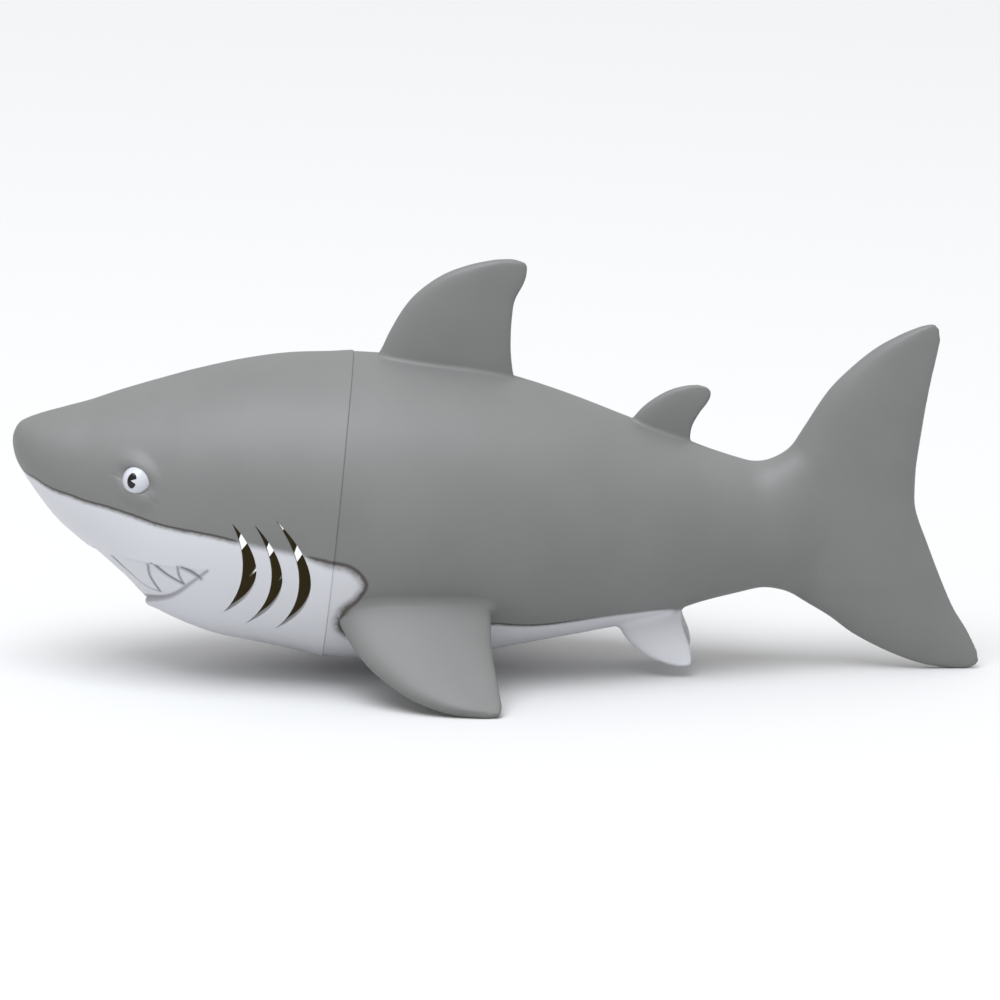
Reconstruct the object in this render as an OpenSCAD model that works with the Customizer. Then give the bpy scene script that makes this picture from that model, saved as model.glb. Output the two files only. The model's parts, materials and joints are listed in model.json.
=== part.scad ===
// Hollow moulded-vinyl shark with a push-fit head on a round neck.
// The shark's own axis runs along +S from the snout to the tail, with S = 0 at the neck seam.
// Its own frame (S, Y, U) is pitched nose-up to stand on its pectoral fins and lower tail tip.

/* [Skin] */
// Length of the head from the snout to the neck seam
head_len = 165; // [155:1:175]
// Radius of the round neck seam
neck_r = 76.5; // [75:0.5:78]
// Thickness of the vinyl skin
wall = 2.75; // [2.5:0.25:3.5]
// Thickness of the body's skin where it narrows to the tail, where the vinyl pools
tail_wall = 5.5; // [3:0.5:7]

/* [Stance] */
// Nose-up pitch of the axis when the shark stands
pitch = 6; // [4:0.5:8]
// Height of the neck centre above the floor
neck_z = 84.63; // [80:0.01:90]
// Place of the neck centre along the floor, which centres the whole shark
neck_x = -78.97; // [-82:0.01:-76]

/* [Neck joint] */
// Outer radius of the spigot that the head slides over
spigot_r = 70.5; // [69:0.5:71]
// Length of the spigot and of the sleeve in the head
spigot_len = 9; // [7:0.5:9]
// Radial running clearance between the spigot and the sleeve
running_gap = 0.08; // [0.05:0.01:0.1]
// Radius of the seal ring's round section
seal_r = 1.25; // [1:0.05:1.5]
// Thickness of the bulkhead that closes the float chamber
bulkhead_t = 2; // [1.5:0.5:3]

/* [Gill slots] */
// Height of the rear slot from tip to tip
slot_h = 60; // [54:1:64]
// Narrowing or widening of all the slots
slot_open = 1; // [0.8:0.05:1.2]

/* [Eyes] */
// Radius of the ball eye
eye_r = 8; // [6:0.1:9]
// How far the ball's centre sits under the skin
eye_depth = 4; // [3:0.1:4.5]

/* [Hidden] */
$fn = 96;

SEGS = 48;        // points round the skin
FIN_SEGS = 24;    // points round a fin's section
GREY = "#85878a";
WHITE = "#c9cbd0";
BONE = "#dcdcd8";
GLUE = 0.25;      // bond line between a rigid ring and the faceted vinyl
SHELF = 3;        // where the bulkhead seats inside the neck ring
REST_GAP = 0.1;   // gap between the two rims, which stay apart while the head turns

// Skin stations: S, height of the section's centre, half height, half width.
HEAD_STATIONS = [
    [-head_len, 16.5, 0.6, 0.6],
    [-head_len + 0.5, 16.35, 3.8, 3.9],
    [-head_len + 1.7, 15.9, 7.2, 7.5],
    [-161, 14.9, 10.8, 11.6],
    [-153, 11.7, 18, 20.5],
    [-140, 7.1, 27.5, 30.5],
    [-128, 4.8, 34.3, 37],
    [-116, 3.6, 40.9, 43.5],
    [-103.5, 1.2, 48.5, 50],
    [-91, -1.7, 56.3, 56.5],
    [-79, -2.4, 61.6, 61.5],
    [-55, -1.8, 68.9, 68],
    [-31, -0.1, 72.9, 72.5],
    [0, 0, neck_r, neck_r],
];
BODY_STATIONS = [
    [0, 0, neck_r, neck_r],
    [17, 0.5, neck_r + 0.2, neck_r - 0.5],
    [41, 1.2, 75.5, 74.5],
    [65, 2.7, 72.5, 71],
    [89, 4.5, 68, 66],
    [113, 4.7, 61, 59],
    [137, 4.9, 54.2, 51],
    [161, 5.3, 47.2, 42.5],
    [185, 7.6, 38.5, 33],
    [209, 9.8, 32, 25],
    [224, 12, 29, 20],
    [238, 15, 23, 14],
    [252, 18, 13, 7]];

// Fin stations: distance out from the fin's base line, leading edge, trailing edge, thickness.
DORSAL = [
    [-14, 5, 83, 17], [0, 12.8, 79.2, 15], [11, 16.8, 77.4, 13.5], [24, 22.8, 76.7, 12],
    [33, 29.4, 77.2, 10.5], [42.5, 40.5, 80.8, 9], [48.3, 52, 81.6, 7.5],
    [52.2, 64, 80.4, 5], [53.7, 71.5, 76, 1.5]];
REAR_DORSAL = [
    [-14, 132, 174, 9], [0, 138, 171.8, 8.5], [7.7, 141.5, 172, 8], [15, 146.5, 175, 7.2],
    [21, 153, 178.5, 6.2], [25.5, 160, 179.5, 5], [28.2, 167.5, 177.3, 3], [29, 171.5, 174, 1]];
PECTORAL = [
    [-20, 0.5, 76, 20], [0, 1, 76.5, 19], [7.5, 3.5, 76.6, 18], [18, 8.5, 76.9, 16],
    [29.5, 16, 78.3, 13.5], [40, 26, 80, 11], [48.2, 36, 81.1, 9], [53.8, 46, 81.9, 7.5],
    [57.6, 56, 81.4, 6], [59.5, 66, 80.3, 4], [60.4, 72, 77, 1.5]];
PELVIC = [
    [-12, 134, 175, 9], [0, 143, 177.3, 8.5], [4.5, 146, 179, 8], [10, 150, 181.5, 7],
    [15, 156, 183, 6], [19, 163.5, 183.6, 4.5], [21, 171, 182.5, 3], [21.8, 176, 179, 1]];
// The tail fin is one stack of stations from its lower tip to its upper tip.
TAIL = [
    [-52, 307, 314, 1.5], [-51.3, 299.5, 321, 4], [-48.7, 288, 326.5, 6.5],
    [-44.4, 275, 326.8, 9], [-39, 262.5, 324.2, 12], [-31.5, 250, 319.5, 15],
    [-22, 231, 312.3, 19], [-10, 216, 305.5, 24], [10, 212, 295.5, 27], [27, 212, 287.7, 27],
    [40, 214, 285.9, 26], [51, 221.5, 285.6, 24], [63, 227.5, 286.1, 21], [83, 237.8, 287.3, 17],
    [96, 248, 288.5, 14], [107, 259, 289.8, 11], [115, 270.3, 290.4, 8], [120, 279.5, 289.2, 5],
    [122, 284.5, 287.5, 2]];

DORSAL_BASE_U = 79.5;        // height of the dorsal fin's base line
REAR_BASE_U = 50;            // height of the rear dorsal fin's base line
PECTORAL_BASE = [64, 39.8];  // half span and height above the floor of the pectoral base line
PECTORAL_DROOP = 40;         // angle of the pectoral fins below the horizontal
PELVIC_BASE = [14.5, -40];   // half span and height of the pelvic base line
PELVIC_DROOP = 70;           // angle of the pelvic fins below the horizontal
EYE = [-103, 12.8];          // place of the eye on the head's side
// Gill slots from the rear one forward: S and U of the upper tip, how far the lower tip leans to
// the rear, height as a share of slot_h, and how far the front and rear edges bow to the rear.
SLOTS = [
    [-31.2, 4.7, 5.5, 1, 12.2, 17.7],
    [-41.6, 1.2, 1.2, 0.95, 11.1, 16.2],
    [-52.7, -0.2, 0.6, 0.86, 7.9, 14]];
CAVITY_END = 210;            // where the body's cavity ends, because the tail fin is moulded solid

// ---- curves and lofts ----

// Slope of a station's column at index i, from its neighbours.
function slope(t, i, c) =
    let (a = max(i - 1, 0), b = min(i + 1, len(t) - 1)) (t[b][c] - t[a][c]) / (t[b][0] - t[a][0]);

// Smooth value of column c at place s along a station table.
function smooth_at(t, s, c) =
    let (last = len(t) - 2,
         hits = [for (i = [0:last]) if (s >= t[i][0] && s <= t[i + 1][0]) i],
         i = s <= t[0][0] ? 0 : len(hits) == 0 ? last : hits[0],
         d = t[i + 1][0] - t[i][0],
         q = min(max((s - t[i][0]) / d, 0), 1),
         m0 = slope(t, i, c) * d,
         m1 = slope(t, i + 1, c) * d)
    (2 * q ^ 3 - 3 * q ^ 2 + 1) * t[i][c] + (q ^ 3 - 2 * q ^ 2 + q) * m0
        + (3 * q ^ 2 - 2 * q ^ 3) * t[i + 1][c] + (q ^ 3 - q ^ 2) * m1;

// One elliptical ring of the skin at s, drawn in by inset.
function skin_ring(t, s, inset) =
    let (u = smooth_at(t, s, 1),
         h = max(smooth_at(t, s, 2) - inset, 0.4),
         w = max(smooth_at(t, s, 3) - inset, 0.4))
    [for (k = [0:SEGS - 1]) let (a = 360 * k / SEGS) [s, w * cos(a), u + h * sin(a)]];

// One egg-shaped ring of a fin, fuller towards its leading edge.
function fin_ring(st, inset) =
    let (thin = min(inset * 1.6, (st[2] - st[1]) * 0.3),
         le = st[1] + thin,
         te = st[2] - thin * 2,
         t = max(st[3] - 2 * inset, 0.6))
    [for (k = [0:FIN_SEGS - 1]) let (a = 360 * k / FIN_SEGS)
        [(le + te) / 2 + (te - le) / 2 * cos(a), t / 2 * sin(a) * (1 - 0.28 * cos(a)), st[0]]];

// A closed solid through rings that all have the same number of points.
module loft(rings) {
    n = len(rings[0]);
    last = len(rings) - 1;
    points = [for (r = rings) each r];
    sides = [for (i = [0:last - 1], k = [0:n - 1])
        let (a = i * n + k, b = i * n + (k + 1) % n, c = a + n, d = b + n)
        each [[a, d, b], [a, c, d]]];
    first_cap = [[for (k = [0:n - 1]) k]];
    last_cap = [[for (k = [0:n - 1]) last * n + n - 1 - k]];
    polyhedron(points, concat(sides, first_cap, last_cap), convexity = 6);
}

// Places along the head, close together where the snout is round.
function head_places(from, to, count) =
    [for (k = [0:count]) let (q = k / count) from + (to - from) * q ^ 2];

module head_solid(inset, to) {
    start = -head_len + inset * 1.4;
    loft([for (s = head_places(start, to, 24)) skin_ring(HEAD_STATIONS, min(s, 0), inset) +
          [for (k = [0:SEGS - 1]) [max(s, 0), 0, 0]]]);
}

module body_loft(inset = [0, 0], from = 0, to = 252, count = 24) {
    loft([for (k = [0:count]) let (s = from + (to - from) * k / count, q = max(s, 0) / to)
        skin_ring(BODY_STATIONS, max(s, 0), inset[0] + (inset[1] - inset[0]) * q ^ 2)
            + [for (j = [0:SEGS - 1]) [min(s, 0), 0, 0]]]);
}

module fin_loft(stations, inset = 0) {
    loft([for (st = stations) fin_ring(st, inset)]);
}

// The stations thick enough to be moulded hollow.
function hollow(stations, limit) = [for (st = stations) if (st[3] > limit) st];

// Makes one mesh of its children.
module skin() {
    resize([0, 0, 0]) children();
}

// From the shark's own frame to the standing frame.
module stand() {
    translate([neck_x, 0, neck_z]) rotate([0, pitch, 0]) children();
}

module body_solid() {
    body_loft();
    fin_loft(TAIL);
}

// ---- the vinyl skins ----

// A prism with a gill slot's crescent section, right through both flanks.
module slot(g) {
    h = slot_h * g[3];
    mid_bow = (g[4] + g[5]) / 2;
    half = (g[5] - g[4]) / 2 * slot_open;
    edge = function (bow, from, to) [for (i = [from:(from < to ? 1 : -1):to]) let (q = i / 12)
        [g[0] + g[2] * q + bow * 4 * q * (1 - q), g[1] - h * q]];
    translate([0, 100, 0]) rotate([90, 0, 0]) linear_extrude(200)
        polygon(concat(edge(mid_bow - half, 0, 12), edge(mid_bow + half, 11, 1)));
}

// Puts its children at the eye, with +Z pointing out of the skin. side is -1 or 1.
module at_eye(side) {
    h = smooth_at(HEAD_STATIONS, EYE[0], 2);
    w = smooth_at(HEAD_STATIONS, EYE[0], 3);
    rise = EYE[1] - smooth_at(HEAD_STATIONS, EYE[0], 1);
    half = w * sqrt(1 - (rise / h) ^ 2);
    up = atan(rise / half);
    translate([EYE[0], side * half, EYE[1]]) rotate([-side * (90 - up), 0, 0])
        rotate([0, -26, 0]) children();
}

module head_shell() {
    color(GREY) stand() skin() difference() {
        head_solid(0, -REST_GAP);
        head_solid(wall, 1);
        for (g = SLOTS) slot(g);
        for (side = [-1, 1]) at_eye(side) translate([0, 0, -eye_depth]) sphere(eye_r + 0.1, $fn = 32);
    }
}

module body_shell() {
    color(GREY) stand() skin() difference() {
        body_solid();
        body_loft([wall, tail_wall], -1, CAVITY_END, 20);
    }
}

// ---- fins, each trimmed to the skin that it is welded to ----

module dorsal_fin() {
    color(GREY) stand() skin() difference() {
        translate([0, 0, DORSAL_BASE_U]) fin_loft(DORSAL);
        translate([0, 0, DORSAL_BASE_U]) fin_loft(hollow(DORSAL, 8), wall);
        body_solid();
    }
}

module rear_dorsal_fin() {
    color(GREY) stand() skin() difference() {
        translate([0, 0, REAR_BASE_U]) fin_loft(REAR_DORSAL);
        body_solid();
    }
}

// Turns a fin so that it leaves the side of the body and droops. side is -1 or 1.
module sideways(base, droop, side) {
    translate([0, side * base[0], base[1]]) rotate([-side * (90 + droop), 0, 0]) children();
}

module pectoral_fin(side) {
    color(GREY) skin() difference() {
        translate([neck_x, 0, 0]) sideways(PECTORAL_BASE, PECTORAL_DROOP, side) fin_loft(PECTORAL);
        translate([neck_x, 0, 0]) sideways(PECTORAL_BASE, PECTORAL_DROOP, side)
            fin_loft(hollow(PECTORAL, 8), wall);
        stand() body_solid();
    }
}

module pelvic_fin(side) {
    color(WHITE) stand() skin() difference() {
        sideways(PELVIC_BASE, PELVIC_DROOP, side) fin_loft(PELVIC);
        body_solid();
    }
}

// ---- eyes ----

module eye(side) {
    color("white") stand() at_eye(side) intersection() {
        translate([0, 0, -eye_depth]) sphere(eye_r);
        translate([0, 0, eye_r - eye_depth - 4.5]) cube([2 * eye_r + 1, 2 * eye_r + 1, 9], center = true);
    }
}

// ---- rigid neck parts, turned about the shark's axis ----

// Turns a profile of [radius, S] points about the shark's axis.
module turned(profile) {
    rotate([0, 90, 0]) rotate_extrude() polygon(profile);
}

module head_sleeve() {
    inner = spigot_r + running_gap;
    outer = neck_r - wall - GLUE;
    color(BONE) stand() turned([
        [inner, -spigot_len], [outer - 1.8, -spigot_len], [outer - 0.1, -0.3], [inner, -0.3]]);
}

module neck_ring() {
    outer = neck_r - wall - GLUE;
    groove = spigot_r - 2 * seal_r - 0.05;
    bore = groove - 1.7;
    mid = -spigot_len / 2;
    color(BONE) stand() turned([
        [bore, -spigot_len], [spigot_r - 0.6, -spigot_len], [spigot_r, -spigot_len + 0.6],
        [spigot_r, mid - seal_r - 0.1], [groove, mid - seal_r - 0.1],
        [groove, mid + seal_r + 0.1], [spigot_r, mid + seal_r + 0.1],
        [spigot_r, 0.3], [outer, 0.3], [outer - 0.4, 10], [spigot_r + 0.3, 10],
        [spigot_r + 0.3, SHELF], [bore, SHELF]]);
}

module neck_seal() {
    color("#303236") stand() translate([-spigot_len / 2, 0, 0]) rotate([0, 90, 0])
        rotate_extrude() translate([spigot_r + 0.03 - seal_r, 0]) circle(seal_r, $fn = 32);
}

module bulkhead() {
    color(BONE) stand() translate([SHELF, 0, 0]) union() {
        turned([[0, 0], [spigot_r, 0], [spigot_r, bulkhead_t], [0, bulkhead_t]]);
        turned([[0, -2], [10, -2], [10, 0.5], [0, 0.5]]);
        for (k = [0:5]) rotate([60 * k, 0, 0])
            translate([bulkhead_t - 0.5, -1.25, 8]) cube([3, 2.5, spigot_r - 14]);
    }
}

head_shell();
body_shell();
dorsal_fin();
rear_dorsal_fin();
pectoral_fin(-1);  // pectoral_fin_left
pectoral_fin(1);  // pectoral_fin_right
pelvic_fin(-1);  // pelvic_fin_left
pelvic_fin(1);  // pelvic_fin_right
eye(-1);  // eye_left
eye(1);  // eye_right
head_sleeve();
neck_ring();
neck_seal();
bulkhead();
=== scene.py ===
"""Looks of a hollow moulded-vinyl shark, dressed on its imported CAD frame.

The skins are the smooth surfaces behind the CAD model's facets, with the mouth, lids, paint and
fillets that the design leaves out. Lengths are millimetres in the shark's own frame, where S runs
from the snout to the tail with 0 at the neck seam, Y runs across and U runs up. Stance takes them
to the row frame, in metres.
"""

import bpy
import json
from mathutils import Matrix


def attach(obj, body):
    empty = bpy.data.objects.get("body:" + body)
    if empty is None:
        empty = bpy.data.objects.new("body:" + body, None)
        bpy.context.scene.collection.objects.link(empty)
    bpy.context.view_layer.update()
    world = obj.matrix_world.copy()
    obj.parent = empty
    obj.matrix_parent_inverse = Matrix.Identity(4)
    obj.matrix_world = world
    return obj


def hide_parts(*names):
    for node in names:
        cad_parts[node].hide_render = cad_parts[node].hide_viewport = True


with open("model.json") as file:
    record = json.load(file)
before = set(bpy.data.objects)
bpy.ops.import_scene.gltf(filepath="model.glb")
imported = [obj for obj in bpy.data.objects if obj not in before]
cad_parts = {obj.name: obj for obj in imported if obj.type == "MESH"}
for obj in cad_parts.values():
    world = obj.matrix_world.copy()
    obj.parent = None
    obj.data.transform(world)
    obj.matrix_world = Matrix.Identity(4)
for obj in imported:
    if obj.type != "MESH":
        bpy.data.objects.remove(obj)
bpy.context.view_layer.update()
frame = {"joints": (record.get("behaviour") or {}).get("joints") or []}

import itertools
import json
import logging
import math
from dataclasses import dataclass, field
from enum import Enum
from typing import Callable, Sequence

import bmesh
import bpy
import numpy as np
from mathutils import Vector

LOG = logging.getLogger("shark")
MM = 0.001
Array = np.ndarray
Distance = Callable[[Array, Array, Array], Array]

WALL = 2.75          # thickness of the vinyl skin
TAIL_WALL = 5.5      # thickness of the body's skin where it narrows to the tail
CAVITY_END = 210.0   # where the body's cavity ends
RIM_GAP = 0.04       # gap between the two rims at the neck
NECK_RADIUS = 76.5


class Side(Enum):
    """The shark's two flanks, by the sign of Y."""

    LEFT = -1
    RIGHT = 1


# ---------------------------------------------------------------------------------------------
# Curves and frames


def smoothstep(low: float, high: float, value: Array) -> Array:
    """0 below low, 1 above high, with a smooth rise between."""
    q = np.clip((value - low) / (high - low), 0.0, 1.0)
    return q * q * (3.0 - 2.0 * q)


def bell(value: Array, width: float) -> Array:
    """A smooth bump of height 1 around 0."""
    return np.exp(-((value / width) ** 2))


def smooth_union(a: Array, b: Array, radius: Array | float) -> Array:
    """Two distances joined by a fillet of about that radius."""
    h = np.clip(0.5 + 0.5 * (b - a) / radius, 0.0, 1.0)
    return b * (1 - h) + a * h - radius * h * (1 - h)


def ellipse_distance(x: Array, y: Array, wide: Array, tall: Array) -> Array:
    """Signed distance to ellipses, by three steps towards the nearest point of each.

    Args:
        x: Places along the half axis wide.
        y: Places along the half axis tall.
        wide: First half axes.
        tall: Second half axes.

    Returns:
        The distances, negative inside.
    """
    x, y = np.abs(x), np.abs(y)
    c, s = 0.7071, 0.7071
    spread = wide**2 - tall**2
    for _ in range(3):
        ex, ey = spread * c**3 / wide, -spread * s**3 / tall
        reach = np.hypot(wide * c - ex, tall * s - ey)
        there = np.maximum(np.hypot(x - ex, y - ey), 1e-9)
        c = np.clip(((x - ex) * reach / there + ex) / wide, 0, 1)
        s = np.clip(((y - ey) * reach / there + ey) / tall, 0, 1)
        size = np.maximum(np.hypot(c, s), 1e-9)
        c, s = c / size, s / size
    away = np.hypot(x - wide * c, y - tall * s)
    return np.where((x / wide) ** 2 + (y / tall) ** 2 < 1, -away, away)


@dataclass(frozen=True)
class Curve:
    """A smooth curve through listed stations.

    Args:
        stations: Rows of a place and the values there, in rising order of place.
    """

    stations: tuple[tuple[float, ...], ...]

    def at(self, place: Array | float) -> list[Array]:
        """The values at a place, one array for each column.

        Args:
            place: One place or an array of them; those past the ends take the end's values.

        Returns:
            The curve's values, in the order of the stations' columns.
        """
        table = np.array(self.stations, float)
        x = table[:, 0]
        place = np.asarray(place, float)
        i = np.clip(np.searchsorted(x, place) - 1, 0, len(x) - 2)
        step = x[i + 1] - x[i]
        q = np.clip((place - x[i]) / step, 0.0, 1.0)
        rise, keep = 3 * q**2 - 2 * q**3, q**3 - q**2
        values = []
        for y in table[:, 1:].T:
            slope = np.gradient(y)
            slope[1:-1] = (y[2:] - y[:-2]) / (x[2:] - x[:-2])
            slope[0] = (y[1] - y[0]) / (x[1] - x[0])
            slope[-1] = (y[-1] - y[-2]) / (x[-1] - x[-2])
            start = slope[i] * step * (q**3 - 2 * q**2 + q)
            values.append((1 - rise) * y[i] + rise * y[i + 1] + start + keep * slope[i + 1] * step)
        return values


@dataclass(frozen=True)
class Stance:
    """The place and slope of the shark's own frame in the row frame.

    Args:
        neck: The centre of the neck seam, in metres.
        along: The unit vector towards the tail.
        up: The unit vector towards the back.
    """

    neck: Array
    along: Array
    up: Array

    @classmethod
    def from_joints(cls, joints: Sequence[dict]) -> "Stance":
        """Reads the stance from the neck's joints, whose axis points to the snout.

        Args:
            joints: The frame's joints.

        Returns:
            The stance.
        """
        twist = next(j for j in joints if j["name"] == "head_twist")
        along = -np.array(twist["axis"], float)
        along /= np.linalg.norm(along)
        return cls(np.array(twist["pos_m"], float), along, np.cross(along, (0.0, 1.0, 0.0)))

    @property
    def basis(self) -> Array:
        """Rows S, Y and U as row-frame vectors."""
        return np.array([self.along, (0.0, 1.0, 0.0), self.up])

    def to_row(self, points: Array) -> Array:
        """Points in millimetres in the shark's frame, as metres in the row frame."""
        return self.neck + MM * (np.asarray(points, float) @ self.basis)

    def level(self, s: Array, u: Array) -> tuple[Array, Array]:
        """Millimetres along the floor from the neck, and height above the floor.

        Args:
            s: Places along the shark.
            u: Heights in its frame.

        Returns:
            The two lengths.
        """
        ahead = s * self.along[0] + u * self.up[0]
        height = self.neck[2] / MM + s * self.along[2] + u * self.up[2]
        return ahead, height


STANCE = Stance.from_joints(frame["joints"])


# ---------------------------------------------------------------------------------------------
# The shark's form


@dataclass(frozen=True)
class Barrel:
    """A skin with elliptical sections: place, centre's height, half height, half width."""

    curve: Curve

    def sections(self, s: Array | float) -> list[Array]:
        """The centre's height, half height and half width at s."""
        return self.curve.at(s)

    def point(self, s: Array, turn: Array, inset: Array | float = 0.0) -> Array:
        """Points of the skin.

        Args:
            s: Places along the skin.
            turn: Angles round the section in radians, 0 on the flank at -Y, rising to the back.
            inset: Depth under the skin.

        Returns:
            An array with a last axis of S, Y and U.
        """
        centre, tall, wide = self.sections(s)
        tall, wide = np.maximum(tall - inset, 0.3), np.maximum(wide - inset, 0.3)
        s = s + 0.0 * turn
        return np.stack([s, -wide * np.cos(turn), centre + tall * np.sin(turn)], axis=-1)

    def distance(self, s: Array, y: Array, u: Array) -> Array:
        """Distance to the skin, negative inside, good to first order near it.

        Args:
            s: Places along the shark.
            y: Places across it.
            u: Heights in its frame.

        Returns:
            The distances.
        """
        centre, tall, wide = self.sections(s)
        rise = u - centre
        near = np.hypot(y / wide, rise / tall)
        steep = np.maximum(np.hypot(y / wide**2, rise / tall**2), 1e-6)
        last = self.curve.stations[-1][0]
        return np.maximum(near * (near - 1) / steep, s - last)


HEAD = Barrel(Curve((
    (-165, 16.5, 0.6, 0.6), (-164.9, 16.46, 1.7, 1.75), (-164.5, 16.35, 3.8, 3.9),
    (-163.3, 15.9, 7.2, 7.5), (-161, 14.9, 10.8, 11.6), (-153, 11.7, 18, 20.5),
    (-140, 7.1, 27.5, 30.5), (-128, 4.8, 34.3, 37), (-116, 3.6, 40.9, 43.5),
    (-103.5, 1.2, 48.5, 50), (-91, -1.7, 56.3, 56.5), (-79, -2.4, 61.6, 61.5),
    (-55, -1.8, 68.9, 68), (-31, -0.1, 72.9, 72.5), (0, 0, NECK_RADIUS, NECK_RADIUS))))
BODY = Barrel(Curve((
    (0, 0, NECK_RADIUS, NECK_RADIUS), (17, 0.5, NECK_RADIUS + 0.2, NECK_RADIUS - 0.5),
    (41, 1.2, 75.5, 74.5), (65, 2.7, 72.5, 71), (89, 4, 67.2, 66), (113, 4.7, 61, 59),
    (137, 4.9, 54.2, 51), (161, 5.3, 47.2, 42.5), (185, 7.6, 38.5, 33), (209, 9.8, 32, 25),
    (224, 12, 29, 20), (238, 15, 23, 14), (252, 18, 13, 7))))


def sections(s: Array) -> list[Array]:
    """Centre's height, half height and half width of head or body at s."""
    ahead = np.asarray(s) < 0
    return [np.where(ahead, h, b) for h, b in zip(HEAD.sections(s), BODY.sections(s))]


def angle_of(s: Array, y: Array, u: Array) -> Array:
    """Angle round the section in degrees, from -90 under the belly to 90 on the back."""
    centre, tall, wide = sections(s)
    return np.degrees(np.arctan2((u - centre) / tall, np.abs(y) / wide))


def girth(s: Array, angle: Array) -> Array:
    """Length round the skin from the flank's middle to that angle in degrees."""
    _, tall, wide = sections(s)
    return np.radians(angle) * (tall + wide) / 2


class Plane(Enum):
    """How a fin's flat lies: upright in the middle, or out to both sides."""

    UPRIGHT = "upright"
    SIDEWAYS = "sideways"


@dataclass(frozen=True)
class Fin:
    """A fin with rounded, tapering sections.

    Args:
        node: The fin's CAD node, or the stem before _left and _right.
        stations: Rows of distance out, leading edge, trailing edge and thickness.
        base: Half span and height of the base line; the height is above the floor if level.
        droop: Angle of the fin below the horizontal, in degrees, for a sideways fin.
        level: Whether the base line lies level with the floor, not with the shark's axis.
        fillet: Radius of the soft root.
        plane: How the fin's flat lies.
        edge: Least radius of the rounded rim.
    """

    node: str
    stations: tuple[tuple[float, ...], ...]
    base: tuple[float, float]
    fillet: float
    droop: float = 0.0
    level: bool = False
    plane: Plane = Plane.UPRIGHT
    edge: float = 1.5

    def place(self, s: Array, y: Array, u: Array) -> tuple[Array, Array, Array]:
        """Distance along the chord, out from the base line, and through the thickness.

        Args:
            s: Places along the shark.
            y: Places across it.
            u: Heights in its frame.

        Returns:
            The three lengths.
        """
        if self.plane is Plane.UPRIGHT:
            return s, u - self.base[1], y
        along, height = STANCE.level(s, u) if self.level else (s, u)
        off, rise = np.abs(y) - self.base[0], height - self.base[1]
        c, d = math.cos(math.radians(self.droop)), math.sin(math.radians(self.droop))
        return along, off * c - rise * d, off * d + rise * c

    def distance(self, s: Array, y: Array, u: Array) -> Array:
        """Distance to the fin's surface, negative inside.

        Args:
            s: Places along the shark.
            y: Places across it.
            u: Heights in its frame.

        Returns:
            The distances.
        """
        along, out, through = self.place(s, y, u)
        first, last = self.stations[0][0], self.stations[-1][0]
        lead, trail, thick = Curve(self.stations).at(out)
        half = np.maximum((trail - lead) / 2 - self.edge, 0.3)
        x = along - (lead + trail) / 2
        semi = np.maximum(thick / 2 * (1 - 0.28 * np.clip(x / half, -1, 1)) - self.edge, 0.3)
        flat = ellipse_distance(x, through, half, semi)
        beyond = np.maximum(out - last, first - out) + self.edge
        outside = np.hypot(np.maximum(flat, 0), beyond)
        return np.where(beyond > 0, outside, np.maximum(flat, beyond)) - self.edge


DORSAL = Fin("dorsal_fin", (
    (-14, 5, 83, 17), (0, 12.8, 79.2, 15), (11, 16.8, 77.4, 13.5), (24, 22.8, 76.7, 12),
    (33, 29.4, 77.2, 10.5), (42.5, 40.5, 80.8, 9), (48.3, 52, 81.6, 7.5), (52.2, 64, 80.4, 5),
    (53.7, 71.5, 76, 1.5)), (0, 79.5), fillet=2.6)
REAR_DORSAL = Fin("rear_dorsal_fin", (
    (-14, 132, 174, 9), (0, 138, 171.8, 8.5), (7.7, 141.5, 172, 8), (15, 146.5, 175, 7.2),
    (21, 153, 178.5, 6.2), (25.5, 160, 179.5, 5), (28.2, 167.5, 177.3, 3), (29, 171.5, 174, 1)),
    (0, 50), fillet=2.6)
PECTORAL = Fin("pectoral_fin", (
    (-20, 0.5, 76, 20), (0, 1, 76.5, 19), (7.5, 3.5, 76.6, 18), (18, 8.5, 76.9, 16),
    (29.5, 16, 78.3, 13.5), (40, 26, 80, 11), (48.2, 36, 81.1, 9), (53.8, 46, 81.9, 7.5),
    (57.6, 56, 81.4, 6), (59.5, 66, 80.3, 4), (60.4, 72, 77, 1.5)),
    (64, 39.8), fillet=4.5, droop=40, level=True, plane=Plane.SIDEWAYS)
PELVIC = Fin("pelvic_fin", (
    (-12, 134, 175, 9), (0, 143, 177.3, 8.5), (4.5, 146, 179, 8), (10, 150, 181.5, 7),
    (15, 156, 183, 6), (19, 163.5, 183.6, 4.5), (21, 171, 182.5, 3), (21.8, 176, 179, 1)),
    (14.5, -40), fillet=4, droop=70, plane=Plane.SIDEWAYS)
TAIL = Fin("body_shell", (
    (-52, 307, 314, 1.5), (-51.3, 299.5, 321, 4), (-48.7, 288, 326.5, 6.5),
    (-44.4, 275, 326.8, 9), (-39, 262.5, 324.2, 12), (-31.5, 250, 319.5, 15),
    (-22, 231, 312.3, 19), (-10, 216, 305.5, 24), (10, 212, 295.5, 27), (27, 212, 287.7, 27),
    (40, 214, 285.9, 26), (51, 221.5, 285.6, 24), (63, 227.5, 286.1, 21), (83, 237.8, 287.3, 17),
    (96, 248, 288.5, 14), (107, 259, 289.8, 11), (115, 270.3, 290.4, 8), (120, 279.5, 289.2, 5),
    (122, 284.5, 287.5, 2)), (0, 0), fillet=16)


def trunk(s: Array, y: Array, u: Array) -> Array:
    """Distance to the body casting: its barrel and the tail fin in one."""
    radius = 1 + (TAIL.fillet - 1) * (1 - smoothstep(222, 262, s))
    return smooth_union(BODY.distance(np.maximum(s, 0), y, u), TAIL.distance(s, y, u), radius)


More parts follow.
